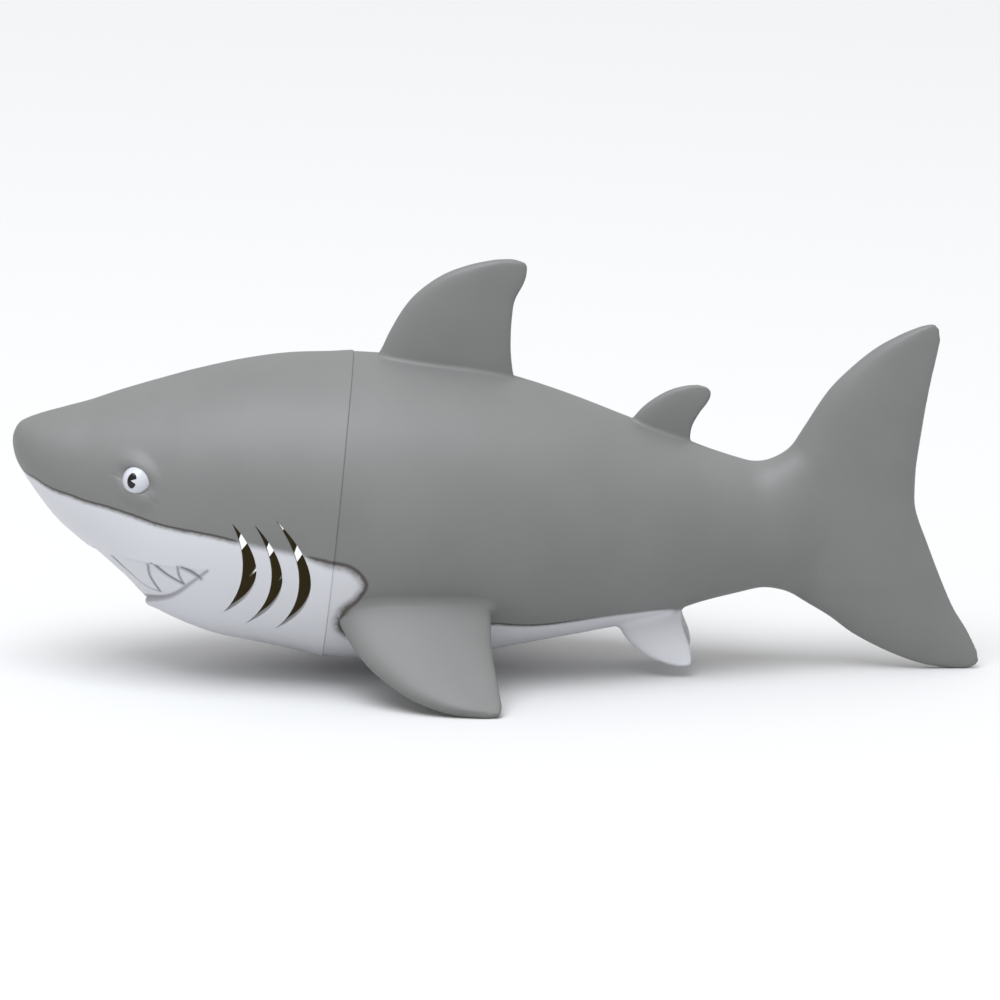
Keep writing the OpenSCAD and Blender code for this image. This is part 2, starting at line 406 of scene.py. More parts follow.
def with_fin(fin: Fin) -> Distance:
    """The body casting with one fin, joined by its fillet, which dies out at the neck's rim.

    Args:
        fin: The fin.

    Returns:
        The joined distance.
    """

    def distance(s: Array, y: Array, u: Array) -> Array:
        """Distance to the body and the fin together."""
        radius = fin.fillet * np.clip((s - 0.5) / 12, 0.04, 1)
        return smooth_union(trunk(s, y, u), fin.distance(s, y, u), radius)

    return distance


# ---------------------------------------------------------------------------------------------
# Paint and drawn lines, laid out as S and the angle round the section


def spline(points: Sequence[tuple[float, float]], steps: int = 6) -> Array:
    """A smooth polyline through points, passing through each of them.

    Args:
        points: Pairs of numbers to pass through.
        steps: Steps between two points.

    Returns:
        The polyline's points.
    """
    p = np.array(points, float)
    p = np.vstack([2 * p[0] - p[1], p, 2 * p[-1] - p[-2]])
    q = np.linspace(0, 1, steps, endpoint=False)[:, None]
    parts = []
    for a, b, c, d in zip(p[:-3], p[1:-2], p[2:-1], p[3:]):
        bend = 2 * a - 5 * b + 4 * c - d
        parts.append(0.5 * (2 * b + (c - a) * q + bend * q**2 + (3 * b - a - 3 * c + d) * q**3))
    return np.vstack(parts + [p[-2:-1]])


@dataclass(frozen=True)
class SkinLine:
    """A line drawn on the skin.

    Args:
        points: Pairs of S and the angle round the section, in degrees.
        width: Half width of the groove.
        depth: Depth of the groove.
    """

    points: tuple[tuple[float, float], ...]
    width: float = 0.5
    depth: float = 0.5

    def path(self) -> Array:
        """The smooth line, in pairs of S and angle."""
        return spline(self.points)

    def distance(self, s: Array, angle: Array) -> Array:
        """Unsigned distance over the skin to the line.

        Args:
            s: Places along the shark.
            angle: Angles round the section, in degrees.

        Returns:
            The distances.
        """
        path = self.path()
        flat = np.stack([path[:, 0], girth(path[:, 0], path[:, 1])], axis=1)
        here = np.stack([s.ravel(), girth(s, angle).ravel()], axis=1)
        nearest = np.full(len(here), np.inf)
        for a, b in zip(flat[:-1], flat[1:]):
            way = b - a
            t = np.clip(((here - a) @ way) / max(way @ way, 1e-9), 0, 1)
            nearest = np.minimum(nearest, np.hypot(*(here - a - t[:, None] * way).T))
        return nearest.reshape(s.shape)


def inside(outline: Array, s: Array, angle: Array) -> Array:
    """Whether each point lies inside a closed outline, by counting crossings.

    Args:
        outline: Its corners, as pairs of S and angle.
        s: Places along the shark.
        angle: Angles round the section, in degrees.

    Returns:
        True for each point inside.
    """
    flips = np.zeros(s.shape, bool)
    for (s0, a0), (s1, a1) in zip(outline, np.roll(outline, -1, axis=0)):
        if a0 == a1:
            continue
        spans = (a0 > angle) != (a1 > angle)
        flips ^= spans & (s < s0 + (angle - a0) * (s1 - s0) / (a1 - a0))
    return flips


# Edge between the grey back and the white belly: under the snout, along the head, round a lobe
# behind the neck, under the pectoral fin and back to the belly's middle near the tail.
PAINT_EDGE = SkinLine((
    (-162, -90), (-159, -60), (-153, -35), (-146, -25), (-136, -16), (-125, -13), (-106, -8),
    (-89, -5), (-60, -5), (-37, -8), (-2, -10), (10, -12), (17, -18), (14, -25), (7, -32),
    (8, -43), (25, -52), (45, -51), (66, -43), (81, -41), (107, -48), (150, -51), (166, -57),
    (180, -76), (186, -90)))
SLOT_FADE = (-52, -46, -16, -11)   # where the line fades out and comes back, between the slots


def belly_distance(s: Array, angle: Array) -> Array:
    """Distance over the skin to the paint's edge, negative on the white belly.

    Args:
        s: Places along the shark.
        angle: Angles round the section, in degrees.

    Returns:
        The distances.
    """
    edge = PAINT_EDGE.path()
    below = np.array([(edge[-1, 0], -120.0), (edge[0, 0], -120.0)])
    white = inside(np.vstack([edge, below]), s, angle)
    return PAINT_EDGE.distance(s, angle) * np.where(white, -1, 1)


def line_strength(s: Array) -> Array:
    """How strongly the dark line of painted shade in the paint's groove shows: 0 between the gill
    slots, and faint near the tail.

    Args:
        s: Places along the shark.

    Returns:
        Strengths from 0 to 1.
    """
    a, b, c, d = SLOT_FADE
    between_slots = smoothstep(a, b, s) * (1 - smoothstep(c, d, s))
    return (1 - between_slots) * (1 - 0.65 * smoothstep(112, 140, s))


def edge_shade_strength(s: Array) -> Array:
    """How much painted shade lies beside the line on the white: most round the lobe behind the neck
    and under the pectoral fins.
    """
    return 0.3 + 0.7 * smoothstep(-16, -2, s) * (1 - smoothstep(22, 50, s))


UPPER_LIP = SkinLine((
    (-122, -90), (-121, -73), (-114, -58), (-104, -42), (-91, -30), (-74, -24), (-62, -22)))
LOWER_LIP = SkinLine((
    (-89, -90), (-91, -72), (-88, -59), (-77, -43), (-70, -32), (-62, -22)),
    width=0.8, depth=0.4)
TOOTH_LINES = (
    SkinLine(((-110, -54), (-103, -56), (-94, -54), (-84, -48)), 0.55, 0.5),
    SkinLine(((-92, -31), (-90, -40), (-84, -48)), 0.55, 0.5),
    SkinLine(((-90, -29), (-82, -32), (-73, -34)), 0.75, 0.6),
    SkinLine(((-77, -24), (-76, -29), (-73, -34)), 0.5, 0.45),
    SkinLine(((-75, -24), (-70, -25), (-65, -27)), 1.0, 0.6))


@dataclass(frozen=True)
class Mouth:
    """The closed grin: a recessed band of teeth between the upper lip and a proud lower lip."""

    recess: float = 1.7
    lip: float = 1.1
    corner: float = -60.0

    def band(self, s: Array, angle: Array) -> Array:
        """Distance over the skin to the band's edge, negative inside the band.

        Args:
            s: Places along the shark.
            angle: Angles round the section, in degrees.

        Returns:
            The distances.
        """
        outline = np.vstack([UPPER_LIP.path(), LOWER_LIP.path()[::-1]])
        edge = np.minimum(UPPER_LIP.distance(s, angle), LOWER_LIP.distance(s, angle))
        return edge * np.where(inside(outline, s, angle), -1, 1)

    def relief(self, s: Array, angle: Array) -> Array:
        """Height of the mouth's relief above the plain head.

        Args:
            s: Places along the shark.
            angle: Angles round the section, in degrees.

        Returns:
            The heights.
        """
        open_front = 1 - smoothstep(self.corner - 36, self.corner, s)
        band = self.band(s, angle)
        deep = (0.25 + 0.75 * open_front) * (1 - 0.5 * smoothstep(-98, -116, s))
        height = -self.recess * deep * smoothstep(0.7, -0.7, band)
        under = LOWER_LIP.distance(s, angle)
        below = (band > 0) & (angle < -21) & (s > -95)
        roll = self.lip * open_front * bell(under - 1.5, 3.0)
        height += np.where(below, roll, 0.0)
        for line in TOOTH_LINES:
            height -= line.depth * bell(line.distance(s, angle), line.width)
        return height - LOWER_LIP.depth * bell(under, LOWER_LIP.width)

    def crease(self, s: Array, angle: Array) -> Array:
        """How much painted shade darkens the grooves of the tooth lines and the lower lip, 0 to 1.

        Args:
            s: Places along the shark.
            angle: Angles round the section, in degrees.

        Returns:
            The shares.
        """
        shade = 0.75 * bell(LOWER_LIP.distance(s, angle), 0.8)
        for line in TOOTH_LINES:
            shade = np.maximum(shade, bell(line.distance(s, angle), line.width * 1.1))
        return shade


@dataclass(frozen=True)
class EyeSeat:
    """Where an eye sits, and the soft lids moulded round it.

    Args:
        s: The eye's place along the head.
        angle: Its angle round the section, in degrees.
        ball: The ball's radius.
        depth: Depth of the ball's centre under the plain head.
        half_width: Half the width of the opening between the lids.
        half_height: Half the height of that opening.
        mound: Height of the soft mound round the lids.
        stretch: Length over the sloping skin for each millimetre along the shark.
        creases: The short folds at the lids' corners.
    """

    s: float = -102.0
    angle: float = 13.5
    ball: float = 8.0
    depth: float = 3.0
    half_width: float = 7.7
    half_height: float = 6.3
    mound: float = 0.8
    stretch: float = 1.11
    creases: tuple[SkinLine, ...] = (
        SkinLine(((-114, 13), (-112, 13), (-110, 12)), 0.7, 0.25),
        SkinLine(((-95, 8), (-93, 6), (-90, 5)), 0.8, 0.3))

    def relief(self, s: Array, angle: Array) -> Array:
        """Height of the lids above the plain head.

        Args:
            s: Places along the head.
            angle: Angles round the section, in degrees.

        Returns:
            The heights, which are negative under the ball.
        """
        along = (s - self.s) * self.stretch
        across = girth(s, angle) - girth(np.array(self.s), np.array(self.angle))
        r = np.maximum(np.hypot(along, across), 1e-3)
        edge = 1 / np.hypot(along / r / self.half_width, across / r / self.half_height)
        ball = np.sqrt(np.maximum(self.ball**2 - np.minimum(r, edge) ** 2, 0)) - self.depth
        lid = (ball + 0.25) * bell(np.maximum(r - edge, 0), 5.0) + self.mound * bell(r - 10.5, 3.6)
        sunk = ball - 1.3
        height = sunk + (lid - sunk) * smoothstep(-0.75, 0.1, r - edge)
        for crease in self.creases:
            height = height - crease.depth * bell(crease.distance(s, angle), crease.width)
        return height


# ---------------------------------------------------------------------------------------------
# Meshes


@dataclass
class Shape:
    """A mesh being made, in millimetres in the shark's frame."""

    points: Array
    faces: list[tuple[int, ...]]
    normals: Array | None = None

    def mirrored(self) -> "Shape":
        """The same shape on the other flank.

        Returns:
            The mirrored shape, with its faces still pointing outwards.
        """
        flip = np.array([1.0, -1.0, 1.0])
        normals = None if self.normals is None else self.normals * flip
        return Shape(self.points * flip, [f[::-1] for f in self.faces], normals)


def gradient(distance: Distance, points: Array, step: float = 0.05) -> Array:
    """Slope of a distance at points, by central differences.

    Args:
        distance: The distance whose 0 is the surface.
        points: One point a row.
        step: Half the span of the differences.

    Returns:
        One slope a point.
    """
    slope = np.empty_like(points)
    for axis in range(3):
        shift = np.zeros(3)
        shift[axis] = step
        high, low = points + shift, points - shift
        slope[:, axis] = (distance(*high.T) - distance(*low.T)) / (2 * step)
    return slope


def settle(distance: Distance, points: Array) -> Array:
    """Moves points onto the surface along its slope.

    Args:
        distance: The distance whose 0 is the surface.
        points: One point a row.

    Returns:
        The moved points.
    """
    slope = gradient(distance, points)
    reach = distance(*points.T) / np.maximum((slope**2).sum(1), 1e-4)
    return points - np.clip(reach, -2, 2)[:, None] * slope


def surface_net(distance: Distance, low: Array, high: Array, step: float) -> Shape:
    """An even quad mesh of the surface where a distance is 0.

    Args:
        distance: The distance, negative inside, of arrays that broadcast together.
        low: The box's lowest corner.
        high: The box's highest corner.
        step: Size of a quad.

    Returns:
        The mesh, with its points on the surface and its faces pointing outwards.
    """
    x, y, z = (np.arange(a, b + step, step) for a, b in zip(low, high))
    solid = distance(x[:, None, None], y[None, :, None], z[None, None, :]) < 0
    solid = np.broadcast_to(solid, (len(x), len(y), len(z)))
    count = np.zeros([n - 1 for n in solid.shape], np.int8)
    for i in (0, 1):
        for j in (0, 1):
            for k in (0, 1):
                count += solid[i:len(x) - 1 + i, j:len(y) - 1 + j, k:len(z) - 1 + k]
    cells = (count > 0) & (count < 8)
    index = np.full(cells.shape, -1)
    index[cells] = np.arange(cells.sum())
    points = np.argwhere(cells) * step + np.array([x[0], y[0], z[0]]) + step / 2
    quads = []
    for axis in range(3):
        turned = np.moveaxis(solid, [axis, (axis + 1) % 3, (axis + 2) % 3], [0, 1, 2])
        ids = np.moveaxis(index, [axis, (axis + 1) % 3, (axis + 2) % 3], [0, 1, 2])
        start, end = turned[:-1, 1:-1, 1:-1], turned[1:, 1:-1, 1:-1]
        ring = np.stack([ids[:, :-1, :-1], ids[:, 1:, :-1], ids[:, 1:, 1:], ids[:, :-1, 1:]], -1)
        quads.append(ring[start & ~end])
        quads.append(ring[~start & end][:, ::-1])
    faces = np.vstack(quads)
    for relax in (False, True, True, True, False, False):
        if relax:
            points = even_out(points, faces)
        points = settle(distance, points)
    return Shape(points, faces.tolist())


def even_out(points: Array, faces: Array) -> Array:
    """Moves each point halfway to the average of its neighbours.

    Args:
        points: One point a row.
        faces: The quads, by the numbers of their points.

    Returns:
        The moved points.
    """
    total = np.zeros_like(points)
    count = np.zeros(len(points))
    for a, b in ((0, 1), (1, 2), (2, 3), (3, 0)):
        for p, q in ((a, b), (b, a)):
            np.add.at(total, faces[:, p], points[faces[:, q]])
            np.add.at(count, faces[:, p], 1)
    return points * 0.5 + total / np.maximum(count, 1)[:, None] * 0.5


def add_piece(name: str, shape: Shape, *materials: bpy.types.Material) -> bpy.types.Object:
    """Makes a smooth object of a shape, with its place in its mesh.

    Args:
        name: The piece's name.
        shape: The shape in the shark's frame.
        materials: The piece's materials; faces start on the first.

    Returns:
        The linked object.
    """
    mesh = bpy.data.meshes.new(name)
    mesh.from_pydata(STANCE.to_row(shape.points).tolist(), [], shape.faces)
    mesh.validate()
    mesh.shade_smooth()
    if shape.normals is not None:
        mesh.normals_split_custom_set_from_vertices((shape.normals @ STANCE.basis).tolist())
    for material in materials:
        mesh.materials.append(material)
    piece = bpy.data.objects.new(name, mesh)
    bpy.context.scene.collection.objects.link(piece)
    return piece


def shark_points(mesh: bpy.types.Mesh) -> Array:
    """A finished mesh's points in millimetres in the shark's frame.

    Args:
        mesh: The finished mesh.

    Returns:
        One row of S, Y and U for each point.
    """
    flat = np.empty(len(mesh.vertices) * 3)
    mesh.vertices.foreach_get("co", flat)
    return (flat.reshape(-1, 3) - STANCE.neck) @ STANCE.basis.T / MM


def store(mesh: bpy.types.Mesh, name: str, values: Array) -> None:
    """Stores one number a point for the materials to read."""
    layer = mesh.attributes.new(name, "FLOAT", "POINT")
    layer.data.foreach_set("value", np.asarray(values, np.float32))


def join_body(piece: bpy.types.Object, body: str, slot: str, *nodes: str) -> None:
    """Makes a piece ride on a body in place of CAD nodes.

    Args:
        piece: The piece.
        body: The body it rides on.
        slot: Not used.
        nodes: The CAD nodes it stands in for.
    """
    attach(piece, body)
    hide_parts(*nodes)
    LOG.info("%s: %d faces on %s", piece.name, len(piece.data.polygons), body)


# ---------------------------------------------------------------------------------------------
# Materials


def linear(code: str) -> tuple[float, float, float, float]:
    """A linear colour from an sRGB hex value."""
    parts = [int(code[i:i + 2], 16) / 255 for i in (1, 3, 5)]
    return (*[c / 12.92 if c <= 0.04045 else ((c + 0.055) / 1.055) ** 2.4 for c in parts], 1.0)


def add(tree: bpy.types.NodeTree, kind: str, inputs: dict | None = None,
        **settings: object) -> bpy.types.Node:
    """Adds a node.

    Args:
        tree: The node tree.
        kind: The node's type.
        inputs: A constant, or another node's output to link, for each input by name or number.
        settings: The node's own settings.

    Returns:
        The new node.
    """
    node = tree.nodes.new(kind)
    for key, value in settings.items():
        setattr(node, key, value)
    for key, value in (inputs or {}).items():
        if isinstance(value, bpy.types.NodeSocket):
            tree.links.new(value, node.inputs[key])
        else:
            node.inputs[key].default_value = value
    return node


def new_material(name: str) -> tuple[bpy.types.Material, bpy.types.NodeTree, bpy.types.Node]:
    """A material with a Principled shader, its tree and that shader.

    Args:
        name: Its name.

    Returns:
        The material, its node tree and the shader.
    """
    material = bpy.data.materials.new(name)
    material.use_nodes = True
    tree = material.node_tree
    return material, tree, tree.nodes["Principled BSDF"]


@dataclass(frozen=True)
class PaintedVinyl:
    """Rotationally moulded soft vinyl, sprayed white below a masked edge.

    It gives the eye a satin skin with a fine orange-peel grain and faint mottling where the vinyl
    pooled. Along the groove between the two colours it paints shade: a dark brown line in the
    groove and a band of painted shade beside it on the white, strongest round the lobe under the
    pectoral fins. It also paints shade into the mouth's grooves. Real orange peel is finer than
    0.5 mm, so it is drawn about twice as coarse here.
    """

    name: str = "sprayed moulded vinyl"
    grey: str = "#777776"
    white: str = "#cfd0d5"
    # line: painted shade in the groove along the paint's edge; the next colour: painted shade
    # beside it on the white; tooth: painted shade in the mouth's grooves.
    line: str = "#48423d"
    spray: str = "#5d5b5b"
    tooth: str = "#5f5d6a"
    grain_mm: float = 1.1
    mottle_mm: float = 40.0
    roughness: float = 0.47

    def build(self) -> bpy.types.Material:
        """Makes the material.

        Returns:
            The material.
        """
        material, tree, shader = new_material(self.name)
        place = add(tree, "ShaderNodeTexCoord").outputs["Object"]
        given = {name: add(tree, "ShaderNodeAttribute", attribute_name=name).outputs["Fac"]
                 for name in ("paint", "line", "spray", "crease")}
        mottle = add(tree, "ShaderNodeTexNoise", {"Scale": 1 / (self.mottle_mm * MM),
                      "Detail": 4.0, "Vector": place}).outputs["Fac"]
        ragged = add(tree, "ShaderNodeTexNoise",
                     {"Scale": 1 / (2.2 * MM), "Detail": 2.0, "Vector": place}).outputs["Fac"]
        edge = add(tree, "ShaderNodeMath", {0: ragged, 1: 0.35, 2: given["paint"]},
                   operation="MULTIPLY_ADD").outputs[0]
        tone = add(tree, "ShaderNodeMapRange", {"From Min": 0.3, "From Max": 0.7, "To Min": 0.96,
                    "To Max": 1.04, "Value": mottle}).outputs[0]
        grey = add(tree, "ShaderNodeMix", {0: 1.0, 6: linear(self.grey), 7: tone},
                   data_type="RGBA", blend_type="MULTIPLY").outputs[2]
        soft = add(tree, "ShaderNodeMapRange",
                   {"To Min": 2.4, "To Max": 0.35, "Value": given["line"]}).outputs[0]
        bare = add(tree, "ShaderNodeMath", {0: edge, 1: -1.0}, operation="MULTIPLY").outputs[0]
        share = self.falloff(tree, bare, soft, -1.0)
        white = add(tree, "ShaderNodeMath", {0: 1.0, 1: share}, operation="SUBTRACT").outputs[0]
        # Painted shade on the white beside the paint's edge, strongest round the lobe under the
        # pectoral fins.
        reach = add(tree, "ShaderNodeMapRange",
                    {"To Min": 1.6, "To Max": 5.0, "Value": given["spray"]}).outputs[0]
        edge_shade_share = self.falloff(tree, bare, reach, 0.0)
        thin = add(tree, "ShaderNodeMath", {0: ragged, 1: 0.7, 2: 0.45},
                   operation="MULTIPLY_ADD").outputs[0]
        for factor in (thin, white, given["line"]):
            edge_shade_share = add(tree, "ShaderNodeMath", {0: edge_shade_share, 1: factor},
                       operation="MULTIPLY").outputs[0]
        # Painted shade: a dark line in the groove along the paint's edge; the same mask cuts the
        # groove's bump.
        wide = add(tree, "ShaderNodeMapRange",
                   {"To Min": 0.6, "To Max": 1.7, "Value": given["spray"]}).outputs[0]
        off = add(tree, "ShaderNodeMath", {0: edge, 1: 0.3}, operation="SUBTRACT").outputs[0]
        size = add(tree, "ShaderNodeMath", {0: off}, operation="ABSOLUTE").outputs[0]
        groove_shade_mask = self.falloff(tree, size, wide, 0.0)
        groove_shade_mask = add(tree, "ShaderNodeMath", {0: groove_shade_mask, 1: given["line"]},
                   operation="MULTIPLY").outputs[0]
        # Painted shade in the grooves of the tooth lines and the lower lip.
        painted_crease_shade = add(tree, "ShaderNodeMath", {0: given["crease"], 1: 0.85},
                   operation="MULTIPLY").outputs[0]
        coat = grey
        for share, paint in ((white, self.white), (edge_shade_share, self.spray), (groove_shade_mask, self.line),
                             (painted_crease_shade, self.tooth)):
            coat = add(tree, "ShaderNodeMix", {0: share, 6: coat, 7: linear(paint)},
                       data_type="RGBA").outputs[2]
        tree.links.new(coat, shader.inputs["Base Color"])
        sheen = add(tree, "ShaderNodeMapRange", {"To Min": self.roughness - 0.03,
                     "To Max": self.roughness + 0.05, "Value": mottle})
        tree.links.new(sheen.outputs[0], shader.inputs["Roughness"])
        grain = add(tree, "ShaderNodeTexNoise", {"Scale": 1 / (self.grain_mm * MM), "Detail": 2.0,
                     "Vector": place}).outputs["Fac"]
        peel = add(tree, "ShaderNodeBump",
                   {"Strength": 0.22, "Distance": 0.00012, "Height": grain})
        ledge = add(tree, "ShaderNodeMapRange", {"From Min": -0.6, "From Max": 1.6, "Value": edge},
                    interpolation_type="SMOOTHSTEP").outputs[0]
        ledge = add(tree, "ShaderNodeMath", {0: ledge, 1: given["line"]},
                    operation="MULTIPLY").outputs[0]
        step = add(tree, "ShaderNodeBump", {"Strength": 0.8, "Distance": 0.0003, "Height": ledge,
                    "Normal": peel.outputs[0]})
        groove = add(tree, "ShaderNodeBump", {"Strength": 1.0, "Distance": 0.0003, "Height": groove_shade_mask,
                      "Normal": step.outputs[0]}, invert=True)
        tree.links.new(groove.outputs[0], shader.inputs["Normal"])
        shader.inputs["Specular IOR Level"].default_value = 0.42
        return material

    def falloff(self, tree: bpy.types.NodeTree, value: bpy.types.NodeSocket,
                width: bpy.types.NodeSocket, start: float) -> bpy.types.NodeSocket:
        """1 at start widths, falling smoothly to 0 one width out."""
        scaled = add(tree, "ShaderNodeMath", {0: value, 1: width}, operation="DIVIDE").outputs[0]
        return add(tree, "ShaderNodeMapRange", {"From Min": start, "From Max": 1.0, "To Min": 1.0,
                    "To Max": 0.0, "Value": scaled}, interpolation_type="SMOOTHSTEP").outputs[0]


@dataclass(frozen=True)
class RawVinyl:
    """Bare rotationally moulded vinyl, as on the inside and on the cut edges of the slots.

    It gives the eye a dull, slightly lumpy skin, darker than the sprayed outside, with a dim
    olive glow that is painted light, standing in for the light that reaches the hollows.
    """

    name: str = "bare moulded vinyl"
    dark: str = "#5e543c"
    light: str = "#796e55"
    # A dim emission: painted light standing in for the light that reaches the hollows.
    painted_inner_light: str = "#2b2618"
    roughness: float = 0.6
    lump_mm: float = 9.0

    def build(self) -> bpy.types.Material:
        """Makes the material.

        Returns:
            The material.
        """
        material, tree, shader = new_material(self.name)
        place = add(tree, "ShaderNodeTexCoord").outputs["Object"]
        lumps = add(tree, "ShaderNodeTexNoise", {"Scale": 1 / (self.lump_mm * MM), "Detail": 4.0,
                     "Vector": place}).outputs["Fac"]
        colour = add(tree, "ShaderNodeMix",
                     {0: lumps, 6: linear(self.dark), 7: linear(self.light)},
                     data_type="RGBA").outputs[2]
        tree.links.new(colour, shader.inputs["Base Color"])
        bump = add(tree, "ShaderNodeBump", {"Strength": 0.5, "Distance": 0.0004, "Height": lumps})
        tree.links.new(bump.outputs[0], shader.inputs["Normal"])
        shader.inputs["Roughness"].default_value = self.roughness
        # Painted light: a dim glow that stands in for the light reaching the hollows.
        shader.inputs["Emission Color"].default_value = linear(self.painted_inner_light)
        shader.inputs["Emission Strength"].default_value = 0.9
        return material


@dataclass(frozen=True)
class EyeGloss:
    """Injection-moulded white acetal ball with a pad-printed pupil under a clear gloss coat.

    It gives the eye small sharp highlights on white and on black alike.
    """

    name: str = "glossy printed eye"
    white: str = "#c9cbd2"
    black: str = "#0b0a0c"

    def build(self) -> bpy.types.Material:
        """Makes the material.

        Returns:
            The material.
        """
        material, tree, shader = new_material(self.name)
        place = add(tree, "ShaderNodeTexCoord").outputs["Object"]
        edge = add(tree, "ShaderNodeAttribute", attribute_name="pupil").outputs["Fac"]
        ink = add(tree, "ShaderNodeTexNoise",
                  {"Scale": 1 / (0.8 * MM), "Detail": 2.0, "Vector": place}).outputs["Fac"]
        ragged = add(tree, "ShaderNodeMath", {0: ink, 1: 0.12, 2: -0.06}, operation="MULTIPLY_ADD")
        edge = add(tree, "ShaderNodeMath", {0: edge, 1: ragged.outputs[0]}, operation="ADD")
        share = add(tree, "ShaderNodeMapRange", {"From Min": -0.1, "From Max": 0.1, "To Min": 1.0,
                     "To Max": 0.0, "Value": edge.outputs[0]}).outputs[0]
        colour = add(tree, "ShaderNodeMix",
                     {0: share, 6: linear(self.white), 7: linear(self.black)},
                     data_type="RGBA").outputs[2]
        tree.links.new(colour, shader.inputs["Base Color"])
        shader.inputs["Roughness"].default_value = 0.2
        shader.inputs["Specular IOR Level"].default_value = 0.3
        shader.inputs["Coat Weight"].default_value = 0.25
        shader.inputs["Coat Roughness"].default_value = 0.06
        return material


@dataclass(frozen=True)
class MouldedPlastic:
    """Injection-moulded polypropylene with a spark-eroded satin face.

    It gives the eye a milky off-white with a fine even grain and faint flow marks.
    """

    name: str = "satin moulded polypropylene"
    colour: str = "#d8d7cf"
    shade: str = "#c6c4ba"
    roughness: float = 0.42

    def build(self) -> bpy.types.Material:
        """Makes the material.

        Returns:
            The material.
        """
        material, tree, shader = new_material(self.name)
        place = add(tree, "ShaderNodeTexCoord").outputs["Object"]
        flow = add(tree, "ShaderNodeTexNoise", {"Scale": 1 / (28 * MM), "Detail": 2.0,
                    "Distortion": 1.5, "Vector": place}).outputs["Fac"]
        tint = add(tree, "ShaderNodeMix", {0: flow, 6: linear(self.colour), 7: linear(self.shade)},
                   data_type="RGBA").outputs[2]
        tree.links.new(tint, shader.inputs["Base Color"])
        grain = add(tree, "ShaderNodeTexNoise",
                    {"Scale": 1 / (0.5 * MM), "Detail": 1.0, "Vector": place}).outputs["Fac"]
        bump = add(tree, "ShaderNodeBump", {"Strength": 0.2, "Distance": 0.00008, "Height": grain})
        tree.links.new(bump.outputs[0], shader.inputs["Normal"])
        shader.inputs["Roughness"].default_value = self.roughness
        shader.inputs["Subsurface Weight"].default_value = 0.1
        shader.inputs["Subsurface Scale"].default_value = 0.002
        return material


@dataclass(frozen=True)
class SealRubber:
    """Compression-moulded nitrile rubber with a trace of grease.

    It gives the eye a near-black ring with a soft uneven shine.
    """

    name: str = "greased nitrile rubber"
    colour: str = "#1c1c1e"
    bloom: str = "#2c2c2d"

    def build(self) -> bpy.types.Material:
        """Makes the material.

        Returns:
            The material.
        """
        material, tree, shader = new_material(self.name)
        place = add(tree, "ShaderNodeTexCoord").outputs["Object"]
        grease = add(tree, "ShaderNodeTexNoise",
                     {"Scale": 1 / (6 * MM), "Detail": 3.0, "Vector": place}).outputs["Fac"]
        colour = add(tree, "ShaderNodeMix",
                     {0: grease, 6: linear(self.colour), 7: linear(self.bloom)},
                     data_type="RGBA").outputs[2]
        tree.links.new(colour, shader.inputs["Base Color"])
        shine = add(tree, "ShaderNodeMapRange", {"To Min": 0.25, "To Max": 0.65, "Value": grease})
        tree.links.new(shine.outputs[0], shader.inputs["Roughness"])
        return material


@dataclass(frozen=True)
class PaleFloor:
    """Matt white studio board, which gives the eye a clean ground with soft shadows."""

    name: str = "matt white board"
    colour: str = "#d9d9d9"

    def build(self) -> bpy.types.Material:
        """Makes the material.

        Returns:
            The material.
        """
        material, tree, shader = new_material(self.name)
        place = add(tree, "ShaderNodeTexCoord").outputs["Object"]
        tooth = add(tree, "ShaderNodeTexNoise", {"Scale": 1 / (2 * MM), "Vector": place})
        bump = add(tree, "ShaderNodeBump",
                   {"Strength": 0.05, "Distance": 0.0001, "Height": tooth.outputs["Fac"]})
        tree.links.new(bump.outputs[0], shader.inputs["Normal"])
        shader.inputs["Base Color"].default_value = linear(self.colour)
        shader.inputs["Roughness"].default_value = 0.9
        shader.inputs["Specular IOR Level"].default_value = 0.1
        return material


# ---------------------------------------------------------------------------------------------
# Geometry Nodes


@dataclass(frozen=True)
class GillSlot:
    """One crescent slot.

    Args:
        tip: S and U of its upper tip.
        lean: How far its lower tip lies behind the upper one.
        share: Its height as a share of the rear slot's.
        front_bow: How far its front edge bows rearwards.
        rear_bow: How far its rear edge bows rearwards.
    """

    tip: tuple[float, float]
    lean: float
    share: float
    front_bow: float
    rear_bow: float


GILL_SLOTS = (
    GillSlot((-31, 4.5), 5.5, 1.0, 12, 18),
    GillSlot((-41.5, 1), 1, 0.95, 11, 16.5),
    GillSlot((-52.5, 0), 0.5, 0.86, 7.5, 14.5))


